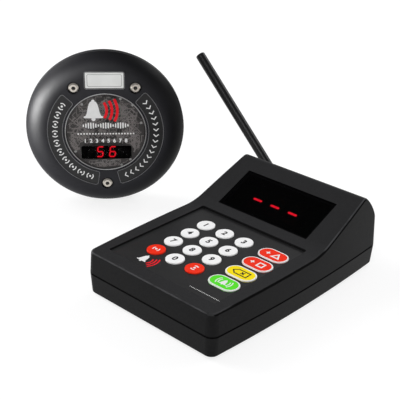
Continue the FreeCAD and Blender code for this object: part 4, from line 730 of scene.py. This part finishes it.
# %% [markdown]
# ## The keypad's print
#
# Each white cap carries its number in bold black figures. The red round caps carry a dot between two arcs,
# and the oval caps a plain sign. The ovals also have a white border: a narrow raised lip along a slot shape,
# so it is a small profile carried along that slot and over the cap's edge.

# %% Numbers on the keys
KEY_FIGURE = 4.6


def key_plane(name):
    """A working plane on top of a cap, at its middle."""
    u, v = spot_of(name, deck)
    return deck.moved(u, v, top_of(name, deck))


for digit in range(10):
    name = f"key_{digit}"
    lettering(f"number_{digit}", str(digit), key_plane(name), KEY_FIGURE, name, legend_black)

# %% Borders of the oval keys
OVAL_LENGTH = 21.0
OVAL_WIDTH = 12.5
BORDER_PROFILE = [
    (-0.95, -0.05), (-0.95, 0.03), (-0.40, 0.05), (-0.08, -0.10), (0.07, -0.38), (0.07, -0.72), (-0.2, -0.72),
    (-0.5, -0.3),
]


def slot_path(length, width, steps=28):
    """Points and outward directions along a slot shape: two half circles joined by straights."""
    right = round_points(np.linspace(-math.pi / 2, math.pi / 2, steps))
    outward = np.concatenate([right, -right])
    shift = np.concatenate([np.full(steps, 1.0), np.full(steps, -1.0)]) * (length - width) / 2
    return outward * width / 2 + np.column_stack([shift, np.zeros(2 * steps)]), outward


def trim(plane, path, outward, profile):
    """A profile of (outward, height) points carried round a closed path."""
    profile = np.asarray(profile, float)
    flat = path[:, None, :] + outward[:, None, :] * profile[None, :, :1]
    height = np.broadcast_to(profile[None, :, 1:], flat.shape[:2] + (1,))
    return loft(plane.place(np.concatenate([flat, height], axis=2)), closed=True)


for name in ("key_a", "key_b", "key_clear", "key_call"):
    ring = trim(key_plane(name), *slot_path(OVAL_LENGTH, OVAL_WIDTH), BORDER_PROFILE)
    add_piece(name + "_border", [ring], name, print_white, smooth=True)

# %% Signs on the red oval keys
PLUS_SPOT = (-4.1, 0.2)
PLUS_REACH = 1.5
PLUS_WIDTH = 0.95
OVAL_SHAPES = {
    "key_a": {"u": 2.6, "v": -0.5, "radius": 3.0, "corners": 3, "turn": 90.0},
    "key_b": {"u": 2.6, "v": 0.0, "radius": 2.9, "corners": 4, "turn": 45.0},
}
SHAPE_LINE = 0.5
for name, shape in OVAL_SHAPES.items():
    plane = key_plane(name)
    sign = plus(plane, *PLUS_SPOT, PLUS_REACH, PLUS_WIDTH) + [polygon(plane, half_width=SHAPE_LINE, **shape)]
    add_piece(name + "_sign", sign, name, print_white)

# %% Sign on the yellow key
ERASE_ARROW = [(-6.0, 0.0), (-3.4, 2.5), (5.4, 2.5), (5.4, -2.5), (-3.4, -2.5)]
ARROW_LINE = 0.42
CROSS_SIDES = (0.0, 2.5)
CROSS_REACH = 1.25
CROSS_WIDTH = 0.85
plane = key_plane("key_clear")
sign = [ribbon(plane, ERASE_ARROW, ARROW_LINE, closed=True)]
for way, low in ((1, LIFT), (-1, LIFT + HAIR)):
    start, end = [(u, way * v) for u, v in zip(CROSS_SIDES, (-CROSS_REACH, CROSS_REACH))]
    sign.append(bar(plane, start, end, CROSS_WIDTH, low=low))
add_piece("key_clear_sign", sign, "key_clear", legend_black)

# %% Signs on the green key and the red round keys
CALL_BELL = (0.0, -0.2, 4.2)
CALL_WAVES = (3.6, 5.2)
plane = key_plane("key_call")
sign = bell(plane, *CALL_BELL)
sign += sound_waves(plane, CALL_WAVES, half_angle=38, half_width=0.34, facings=(0, 180))
add_piece("key_call_sign", sign, "key_call", print_white)
BUZZ_DOT = 0.85
BUZZ_WAVE = 2.2
for name, turn in (("key_left", 0.0), ("key_right", 90.0)):
    plane = key_plane(name)
    sign = [dot(plane, 0.0, 0.0, BUZZ_DOT)]
    facings = (turn, turn + 180.0)
    sign += sound_waves(plane, [BUZZ_WAVE], half_angle=42, half_width=0.40, facings=facings)
    add_piece(name + "_sign", sign, name, print_white)

# %% [markdown]
# ## The overlay's print
#
# A fine pale row of strokes lies at the lower right of the overlay, and a small mark at its lower left. The
# mark is a plain bell with three red waves: the set's trade, not anybody's name.

# %% The overlay's print
STROKE_STARTS = np.arange(20.0, 43.2, 1.15)
STROKE_ROW = 16.2
STROKE_LENGTH = 0.56
STROKE_WIDTH = 0.7
MARK_BELL = (-22.0, 19.6, 6.0)
MARK_WAVES = (5.4, 7.4, 9.4)
MARK_WAVES_SPOT = {"u": -21.5, "v": 19.6}
overlay_plane = deck.moved(w=top_of("keypad_overlay", deck))
strokes = [
    bar(overlay_plane, (u, STROKE_ROW), (u + STROKE_LENGTH, STROKE_ROW), STROKE_WIDTH, steps=8)
    for u in STROKE_STARTS
]
add_piece("overlay_strokes", strokes, "case", print_white)
add_piece("overlay_bell", bell(overlay_plane, *MARK_BELL), "case", print_white)
mark_waves = sound_waves(overlay_plane, MARK_WAVES, half_angle=36, half_width=0.5, **MARK_WAVES_SPOT)
add_piece("overlay_waves", mark_waves, "case", print_red)

# %% [markdown]
# ## Digits behind the window
#
# Each of the three display modules has seven segments and a point. Only the middle bars are lit; the others
# show as dark red ghosts. They are thin six-sided bars on the module's face, drawn as ribbons that end in
# points.

# %% Digits behind the window
DIGIT_PITCH = 14.75
SEGMENT_HALF = 0.8
LYING_REACH = 3.3
LYING_ROW = 7.2
STANDING_COLUMN = 4.1
STANDING_ENDS = (0.7, 6.6)
POINT_SPOT = (6.0, -7.2)
POINT_RADIUS = 0.75


def segment(plane, start, end):
    """A six-sided bar: full width except at its two pointed ends."""
    start, end = np.array(start, float), np.array(end, float)
    t = np.array([0.0, 0.12, 0.5, 0.88, 1.0])[:, None]
    return ribbon(plane, start + (end - start) * t, np.array([0.08, 1.0, 1.0, 1.0, 0.08]) * SEGMENT_HALF)


digit_u, digit_v = spot_of("lit_segments", hood)
module_plane = hood.moved(v=digit_v, w=top_of("digit_modules", hood))
inner, outer = STANDING_ENDS
ghosts = []
for column in (-1, 0, 1):
    digit_plane = module_plane.moved(u=digit_u + column * DIGIT_PITCH)
    for sign in (-1, 1):
        ghosts.append(segment(digit_plane, (-LYING_REACH, sign * LYING_ROW), (LYING_REACH, sign * LYING_ROW)))
        for low, high in ((-outer, -inner), (inner, outer)):
            ghosts.append(segment(digit_plane, (sign * STANDING_COLUMN, low), (sign * STANDING_COLUMN, high)))
    ghosts.append(dot(digit_plane, *POINT_SPOT, POINT_RADIUS))
add_piece("ghost_segments", ghosts, "case", unlit_red)

# %% [markdown]
# ## The sleeve's knurl
#
# The sleeve that holds the antenna is turned by hand, so its rim is knurled. Its radius is a plain circle
# plus a wave round it: full in the middle of its length and fading at the two ends, where the chamfers are.
# The bore stays round. The grid has one ring of points for every step round the circle.

# %% The sleeve's knurl
SLEEVE_START = 2.3
SLEEVE_LENGTH = 6.6
SLEEVE_RADIUS = 4.5
SLEEVE_BORE = 3.2
RIDGES = 30
RIDGE_DEPTH = 0.3


def knurled_sleeve():
    """Outer radius = full radius - depth * (1 - |cos|) of the ridge's phase, times the fade."""
    angle = np.linspace(0, 2 * math.pi, RIDGES * 6, endpoint=False)
    fade = np.array([0.0, 0.0, 1.0, 1.0, 1.0, 0.0, 0.0])
    chamfer = np.array([0.5, 0.1, 0.0, 0.0, 0.0, 0.1, 0.5])
    length = SLEEVE_START + SLEEVE_LENGTH * np.array([0.0, 0.07, 0.13, 0.5, 0.87, 0.93, 1.0])
    dip = RIDGE_DEPTH * (1 - np.abs(np.cos(angle * RIDGES / 2)))
    outer = SLEEVE_RADIUS - chamfer[None, :] - dip[:, None] * fade[None, :]
    radius = np.concatenate([outer, np.full((len(angle), 2), SLEEVE_BORE)], axis=1)
    along = np.concatenate([length, length[[-1, 0]]])
    across = radius * np.cos(angle)[:, None]
    up = radius * np.sin(angle)[:, None]
    rings = np.stack([across, up, np.broadcast_to(along, across.shape)], axis=-1)
    return loft(jack.place(rings), closed=True)


sleeve = add_piece("antenna_sleeve", [knurled_sleeve()], "antenna_base", metal_black)
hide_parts("antenna_coupling")

# %% [markdown]
# ## The pager's card
#
# Under the clear lens lies a printed card. Its ground is a dark warm grey with a web of paler tracks that
# turn by 45 degrees and end in dots. Each track is a short random walk: a start, a heading and a few steps,
# all from one seeded generator, so that every run draws the same card. Long tracks don't fit between the
# window and the card's edge, so shorter ones are drawn there as well. Each lies a trace above the last, so
# that crossing tracks don't share a face.

# %% Tracks on the card
CARD_RADIUS = 28.6
CARD_MARGIN = 0.6
TRACK_HALF_WIDTHS = [0.12, 0.2, 0.3]
TRACK_LIFT = 0.002
TRACK_STEP_UP = 0.00001
TRACK_INK = 0.006
TRACK_END = 0.4
TRACK_END_INK = 0.007
card_plane = pager.moved(w=top_of("insert_card", pager))
window_spot = spot_of("pager_filter", pager)
chance = np.random.default_rng(7)
card_tracks = []


def tracks(count, low_corner, high_corner, step_lengths, clear_of_window):
    """Random walks of four steps on headings of 45 degrees, kept on the card and off its window.

    They start between two corners. The window's half width and half height are kept clear.
    """
    for _ in range(count):
        start = chance.uniform(low_corner, high_corner)
        turns = np.cumsum(chance.choice([-2, -1, 0, 0, 1, 2], 4)) + chance.integers(0, 4) * 2
        heading = np.radians(45.0 * turns)
        steps = round_points(heading) * chance.uniform(*step_lengths, (4, 1))
        walk = start + np.vstack([[0, 0], np.cumsum(steps, axis=0)])
        far = np.linalg.norm(walk, axis=1).max() > CARD_RADIUS - CARD_MARGIN
        hidden = (np.abs(walk - window_spot) < clear_of_window).all(axis=1)
        if far or hidden.any():
            continue
        low = TRACK_LIFT + len(card_tracks) * TRACK_STEP_UP
        card_tracks.append(ribbon(card_plane, walk, chance.choice(TRACK_HALF_WIDTHS), low, TRACK_INK))
        card_tracks.append(dot(card_plane, *walk[-1], TRACK_END, low, TRACK_END_INK, corners=12))


corner = np.full(2, CARD_RADIUS)
tracks(620, -corner, corner, step_lengths=(1.4, 4.6), clear_of_window=(19.4, 6.4))
under_window = (18.0, window_spot[1] - 5.8)
tracks(160, (-18.0, -27.6), under_window, step_lengths=(0.8, 2.6), clear_of_window=(19.4, 5.7))
for middle_u in (-23.0, 23.0):
    low_corner, high_corner = (middle_u - 3.5, -18.0), (middle_u + 3.5, -8.0)
    tracks(50, low_corner, high_corner, step_lengths=(0.8, 2.4), clear_of_window=(19.2, 6.0))
add_piece("card_tracks", card_tracks, "pager", track_grey)
print("tracks", len(card_tracks) // 2)

# %% [markdown]
# ## Signs on the card
#
# A bell with red waves fills the upper half. Under it stand a row of white bars whose heights rise and fall
# like a vibration, a row of dots and a row of plain numbers. A few pale studs lie round the edge.

# %% Signs on the card
CARD_BELL = (-8.6, 16.0, 11.6)
WAVE_SPOT = (-8.6, 16.4)
CARD_WAVES = [(9.6, 37), (13.4, 32), (17.2, 29)]
CARD_WAVE_LINE = 1.0
add_piece("card_bell", bell(card_plane, *CARD_BELL), "pager", print_white)
waves = [
    arc_mark(card_plane, radius, -half_angle, half_angle, CARD_WAVE_LINE, *WAVE_SPOT)
    for radius, half_angle in CARD_WAVES
]
add_piece("card_waves", waves, "pager", print_red)

# %% Rows on the card
BAR_ROW = 4.9
BAR_PLACES = np.linspace(-16.0, 16.0, 19)
BAR_WIDTH = 1.0
LEAST_REACH = 0.9
BEAT_REACH = 1.5
BEAT_LENGTH = 10.7
DOT_ROW = -1.4
DOT_PLACES = np.linspace(-20.0, 20.0, 20)
DOT_RADIUS = 0.62
NUMBER_ROW = -6.8
NUMBER_HEIGHT = 3.2
STUDS = [(-16.5, 21.0), (11.0, 25.0), (19.6, 20.4), (25.6, 6.8), (17.4, -21.8), (10.8, -26.0), (-22.5, -15.0)]
STUD_RADIUS = 0.95
bars = []
for u in BAR_PLACES:
    reach = LEAST_REACH + BEAT_REACH * abs(math.cos(u * math.pi / BEAT_LENGTH))
    bars.append(bar(card_plane, (u, BAR_ROW - reach), (u, BAR_ROW + reach), BAR_WIDTH, steps=12))
add_piece("card_bars", bars, "pager", print_white)
dots = [dot(card_plane, u, DOT_ROW, DOT_RADIUS) for u in DOT_PLACES]
add_piece("card_dots", dots, "pager", print_white)
number_plane = card_plane.moved(v=NUMBER_ROW)
numbers = "1  2  3  4  5  6  7  8"
lettering("card_numbers", numbers, number_plane, NUMBER_HEIGHT, "pager", print_white)
studs = [dot(card_plane, u, v, STUD_RADIUS) for u, v in STUDS]
add_piece("card_studs", studs, "pager", print_grey)

# %% [markdown]
# ## Marks on the ring
#
# Two curved panels are let into the ring on either side of the lens. The left one carries a dot between two
# waves, for a buzz, and the right one a run of arrowheads that lead round to the desk. Both repeat one small
# mark at even angles.

# %% Marks on the ring
PANEL_MIDDLE = 36.5
WAVE_ANGLES = np.arange(147.0, 250.5, 11.4)
WAVE_DOT = 0.8
WAVE_RADIUS = 2.3
WAVE_HALF_ANGLE = 52
ARROW_ANGLES = np.arange(-67.0, 40.0, 7.0)
ARROW_POINT = -1.5
ARROW_TAIL = 1.1
ARROW_TAIL_RADII = (38.4, 34.6)
MARK_LINE = 0.36
panel_plane = pager.moved(w=top_of("arc_panel_left", pager))


def at_angle(degrees, radius=PANEL_MIDDLE):
    """The point (u, v) on a circle round the pager's middle."""
    return radius * math.cos(math.radians(degrees)), radius * math.sin(math.radians(degrees))


ring_waves = []
for angle in WAVE_ANGLES:
    u, v = at_angle(angle)
    ring_waves.append(dot(panel_plane, u, v, WAVE_DOT, corners=16))
    facings = (angle + 90.0, angle + 270.0)
    ring_waves += sound_waves(
        panel_plane, [WAVE_RADIUS], WAVE_HALF_ANGLE, MARK_LINE, u, v, facings, steps=13
    )
add_piece("ring_waves", ring_waves, "pager", print_white)
arrows = []
for angle in ARROW_ANGLES:
    outer_tail, inner_tail = [at_angle(angle + ARROW_TAIL, radius) for radius in ARROW_TAIL_RADII]
    arrows.append(ribbon(panel_plane, [outer_tail, at_angle(angle + ARROW_POINT), inner_tail], MARK_LINE))
add_piece("ring_arrows", arrows, "pager", print_white)

# %% [markdown]
# ## Painted highlights on the pockets' edges
#
# The lens, the two panels and the label sit in pockets whose edges carry a painted highlight. Each edge is a
# bead: a low bump carried round the outline of the pocket, coloured a pale grey that paints the highlight on.
# A panel's outline is a rounded rectangle bent round the ring, so it is drawn straight first, with arc length
# across and radius up, and then bent.

# %% Outlines with round corners
PANEL_INNER = 31.3
PANEL_OUTER = 41.7
PANEL_ARCS = {"left": (136.0, 260.0), "right": (-76.0, 46.6)}
EDGE_BEAD = [(-0.12, -0.16), (-0.10, 0.015), (0.05, 0.05), (0.22, 0.04), (0.34, -0.005), (0.30, -0.16)]
RIM_BUMP = [(-0.32, 0.005), (-0.2, 0.06), (0.1, 0.07), (0.3, 0.0), (0.3, -0.25), (-0.32, -0.1)]


def rounded_rectangle(width, height, corner, steps=7):
    """Points and outward directions round a rectangle: a quarter circle at each corner."""
    angle = np.radians(np.linspace(0, 90, steps))
    quarters = [(0, 1, 1), (90, -1, 1), (180, -1, -1), (270, 1, -1)]
    points, outward = [], []
    for turn, right, top in quarters:
        way = round_points(angle + math.radians(turn))
        centre = np.array([right * (width / 2 - corner), top * (height / 2 - corner)])
        points.append(centre + way * corner)
        outward.append(way)
    return np.concatenate(points), np.concatenate(outward)


def divided(points, outward, longest):
    """The same closed path with its long runs cut into steps no longer than the given length."""
    following = np.roll(points, -1, axis=0)
    counts = np.ceil(np.linalg.norm(following - points, axis=1) / longest).astype(int).clip(1)
    share = np.concatenate([np.arange(count) / count for count in counts])[:, None]
    start, start_out = np.repeat(points, counts, axis=0), np.repeat(outward, counts, axis=0)
    end = np.repeat(following, counts, axis=0)
    end_out = np.repeat(np.roll(outward, -1, axis=0), counts, axis=0)
    return start + (end - start) * share, start_out + (end_out - start_out) * share


def bent(points, outward, radius, middle_angle):
    """Bends a straight strip round a circle: x is arc length at the radius, y is added to it."""
    angle = math.radians(middle_angle) - points[:, 0] / radius
    around = round_points(angle)
    across = np.column_stack([np.sin(angle), -np.cos(angle)])
    return around * (radius + points[:, 1:]), across * outward[:, :1] + around * outward[:, 1:]


# %% Edges of the three pockets
PANEL_CORNER = 1.5
LONGEST_STEP = 1.5
LABEL_POCKET = (28.1, 12.3, 1.3)
ring_plane = pager.moved(w=top_of("pager_top", pager))
edges = []
for start, end in PANEL_ARCS.values():
    radius = (PANEL_INNER + PANEL_OUTER) / 2
    arc_length = math.radians(end - start) * radius
    strip = divided(*rounded_rectangle(arc_length, PANEL_OUTER - PANEL_INNER, PANEL_CORNER), LONGEST_STEP)
    edges.append(trim(ring_plane, *bent(*strip, radius, (start + end) / 2), EDGE_BEAD))
label_u, label_v = spot_of("label_plate", pager)
edges.append(trim(ring_plane.moved(label_u, label_v), *rounded_rectangle(*LABEL_POCKET), EDGE_BEAD))
# The beads' pale grey is a painted highlight.
add_piece("pocket_edges", edges, "pager", painted_highlight_grey, smooth=True)

# %% Rim of the lens and line on the label
RIM_RADIUS = 29.15
LABEL_LINE = (24.2, 8.6, 1.0)
LABEL_LINE_HALF = 0.16
circle = round_points(np.linspace(0, 2 * math.pi, 120, endpoint=False))
lens_plane = pager.moved(w=top_of("pager_lens", pager))
rim = trim(lens_plane, circle * RIM_RADIUS, circle, RIM_BUMP)
add_piece("lens_rim", [rim], "pager", rim_silver, smooth=True)
label_plane = pager.moved(label_u, label_v, top_of("label_plate", pager))
label_line = ribbon(label_plane, rounded_rectangle(*LABEL_LINE)[0], LABEL_LINE_HALF, closed=True)
add_piece("label_line", [label_line], "pager", print_grey)

# %% [markdown]
# ## Screw sockets
#
# The three screws of the pager have hexagon sockets. Steel that is polished by the key shines inside as much
# as outside, so a socket hardly reads from a metre away. A dark hexagon on the socket's floor is painted
# shade for the depth of the hole.

# %% Screw sockets
SCREW_CIRCLE = 40.0
SCREW_ANGLES = (123, 57, 270)
SOCKET_CORNER = 1.48
SOCKET_FLOOR_DEPTH = 1.1
socket_plane = pager.moved(w=top_of("pager_screws", pager) - SOCKET_FLOOR_DEPTH)
# A dark hexagon on each socket's floor: painted shade.
painted_socket_shade = [
    dot(socket_plane, *at_angle(angle, SCREW_CIRCLE), SOCKET_CORNER, corners=6) for angle in SCREW_ANGLES
]
add_piece("socket_painted_shade", painted_socket_shade, "pager", legend_black)

# %% [markdown]
# ## Table and sky
#
# A pale table takes the shadow. Its own light towards the camera, and towards what mirrors it, keeps it near
# white without a stronger lamp, so the object's colours stay as they are. The sky is pale at the horizon and
# darker overhead, so that a black window shows black.

# %% Table
TABLE_SIZE = 30.0
TABLE_GLOW = 1.22
GLOW_SHARE = 0.62
bpy.ops.mesh.primitive_plane_add(size=TABLE_SIZE, location=(0, 0, 0))
table = bpy.context.object
table.name = "table_top"
top = Finish("table_white")
paint = top.blend(top.noise(3.0, 3.0), (0.80, 0.80, 0.80), (0.84, 0.84, 0.84))
table.data.materials.append(top.finished(Base_Color=paint, Roughness=0.9, Specular_IOR_Level=0.1))
glow = top.node("ShaderNodeEmission", inputs={"Color": (1.0, 1.0, 1.0, 1.0), "Strength": TABLE_GLOW})
seen = top.node("ShaderNodeLightPath", output="Is Camera Ray")
for ray in ("Is Glossy Ray", "Is Transmission Ray"):
    seen = seen.largest(top.node("ShaderNodeLightPath", output=ray))
shaders = {0: seen * GLOW_SHARE, 1: Signal(top, top.shader.outputs[0]), 2: glow}
top.feed(top.tree.nodes["Material Output"].inputs["Surface"], top.node("ShaderNodeMixShader", inputs=shaders))

# %% Sky
SKY_STRENGTH = 0.93
SKY_STOPS = [(0.02, (1.0, 1.0, 1.0, 1.0)), (0.55, (0.30, 0.30, 0.31, 1.0))]
world = bpy.data.worlds.new("pale_room")
bpy.context.scene.world = world
world.use_nodes = True
sky = Network(world.node_tree)
height = sky.parts(sky.coordinates("Generated"))[2]
background = sky.tree.nodes["Background"]
sky.feed(background.inputs["Color"], sky.node("ShaderNodeValToRGB", {"stops": SKY_STOPS}, {0: height}))
sky.feed(background.inputs["Strength"], SKY_STRENGTH)
print("table", TABLE_SIZE, "m wide, sky of", len(sky.tree.nodes), "nodes")

# %% [markdown]
# ## Lamps
#
# Three soft lamps as large as windows stand to the left, in front and behind. They are weak enough to leave
# the colours as they are. A glossy black ring shows its shape only by what it mirrors, so a fourth lamp
# stands low before the pager, and light linking lets it light the pager's two shells and nothing else.


# %% Lamps
def soft_lamp(name, place, aim, size, power):
    """A rectangle of light at a place, turned so that it faces the point it aims at."""
    light = bpy.data.lights.new(name, "AREA")
    light.shape = "RECTANGLE"
    light.size, light.size_y = size
    light.energy = power
    lamp_object = new_object(name, light)
    lamp_object.location = place
    direction = Vector([there - here for there, here in zip(aim, place)])
    lamp_object.rotation_mode = "QUATERNION"
    lamp_object.rotation_quaternion = direction.to_track_quat("-Z", "Y")
    print(name, "is", round(direction.length, 2), "m away at", power, "W")
    return lamp_object


soft_lamp("left_window", (-0.95, -0.35, 0.75), aim=(0.0, 0.0, 0.03), size=(0.7, 0.9), power=8.5)
soft_lamp("front_fill", (0.7, -1.0, 0.9), aim=(0.0, 0.0, 0.04), size=(0.9, 0.6), power=6.8)
soft_lamp("back_strip", (0.25, 0.95, 0.8), aim=(0.05, 0.0, 0.03), size=(1.1, 0.4), power=5.4)
rim_light = soft_lamp("rim_light", (-0.26, -0.66, 0.10), (-0.11, -0.02, 0.05), size=(0.45, 0.19), power=52.0)
lit_shells = bpy.data.collections.new("lit_by_rim_light")
for name in ("pager_top", "pager_bottom"):
    lit_shells.objects.link(frame["nodes"][name])
rim_light.light_linking.receiver_collection = lit_shells

# %% [markdown]
# ## Camera
#
# The camera looks down on the keypad over its right front corner, with a slight roll. Its place is given
# from the case's middle, and its focal length in pixels of a square frame 400 pixels wide. Shifting the lens
# then frames both devices without turning the view, so the perspective stays the same.

# %% Camera
CAMERA_FROM_CASE = (315.48, -376.18, 287.73)
VIEW_AZIMUTH = math.radians(40.706)
VIEW_HEIGHT = math.radians(28.893)
VIEW_ROLL = math.radians(2.49)
FOCAL_PIXELS = 609.6
FRAME_PIXELS = 400.0
SENSOR_WIDTH = 36.0
ZOOM = 1.42
OPTICAL_CENTRE = (278.93, 293.73)
FRAMED_MIDDLE = (259.0, 255.5)

camera_data = bpy.data.cameras.new("camera")
camera = new_object("camera", camera_data)
bpy.context.scene.camera = camera
camera_data.sensor_width = SENSOR_WIDTH
camera_data.lens = FOCAL_PIXELS * ZOOM / FRAME_PIXELS * camera_data.sensor_width
offset = [ZOOM * (centre - mid) for centre, mid in zip(OPTICAL_CENTRE, FRAMED_MIDDLE)]
camera_data.shift_x = -offset[0] / FRAME_PIXELS
camera_data.shift_y = offset[1] / FRAME_PIXELS
camera_data.clip_start = 0.02
camera_data.clip_end = 60.0

# %% Where the camera stands and how it is turned
sine, cosine = math.sin(VIEW_AZIMUTH), math.cos(VIEW_AZIMUTH)
back = np.array([sine * math.cos(VIEW_HEIGHT), -cosine * math.cos(VIEW_HEIGHT), math.sin(VIEW_HEIGHT)])
level = np.array([cosine, sine, 0.0])
above = np.cross(back, level)
right = math.cos(VIEW_ROLL) * level + math.sin(VIEW_ROLL) * above
up = -math.sin(VIEW_ROLL) * level + math.cos(VIEW_ROLL) * above
place = np.array([case_middle[0], case_middle[1], 0.0]) + np.array(CAMERA_FROM_CASE) * MM
matrix = np.eye(4)
matrix[:3, 0], matrix[:3, 1], matrix[:3, 2], matrix[:3, 3] = right, up, back, place
camera.matrix_world = Matrix(matrix.tolist())
print("camera at", place.round(4), "lens", round(camera_data.lens, 2))

# %% [markdown]
# ## Colours as they are
#
# The plain view transform shows each colour as it was written.

# %% Plain colours on the screen
bpy.context.scene.view_settings.view_transform = "Standard"
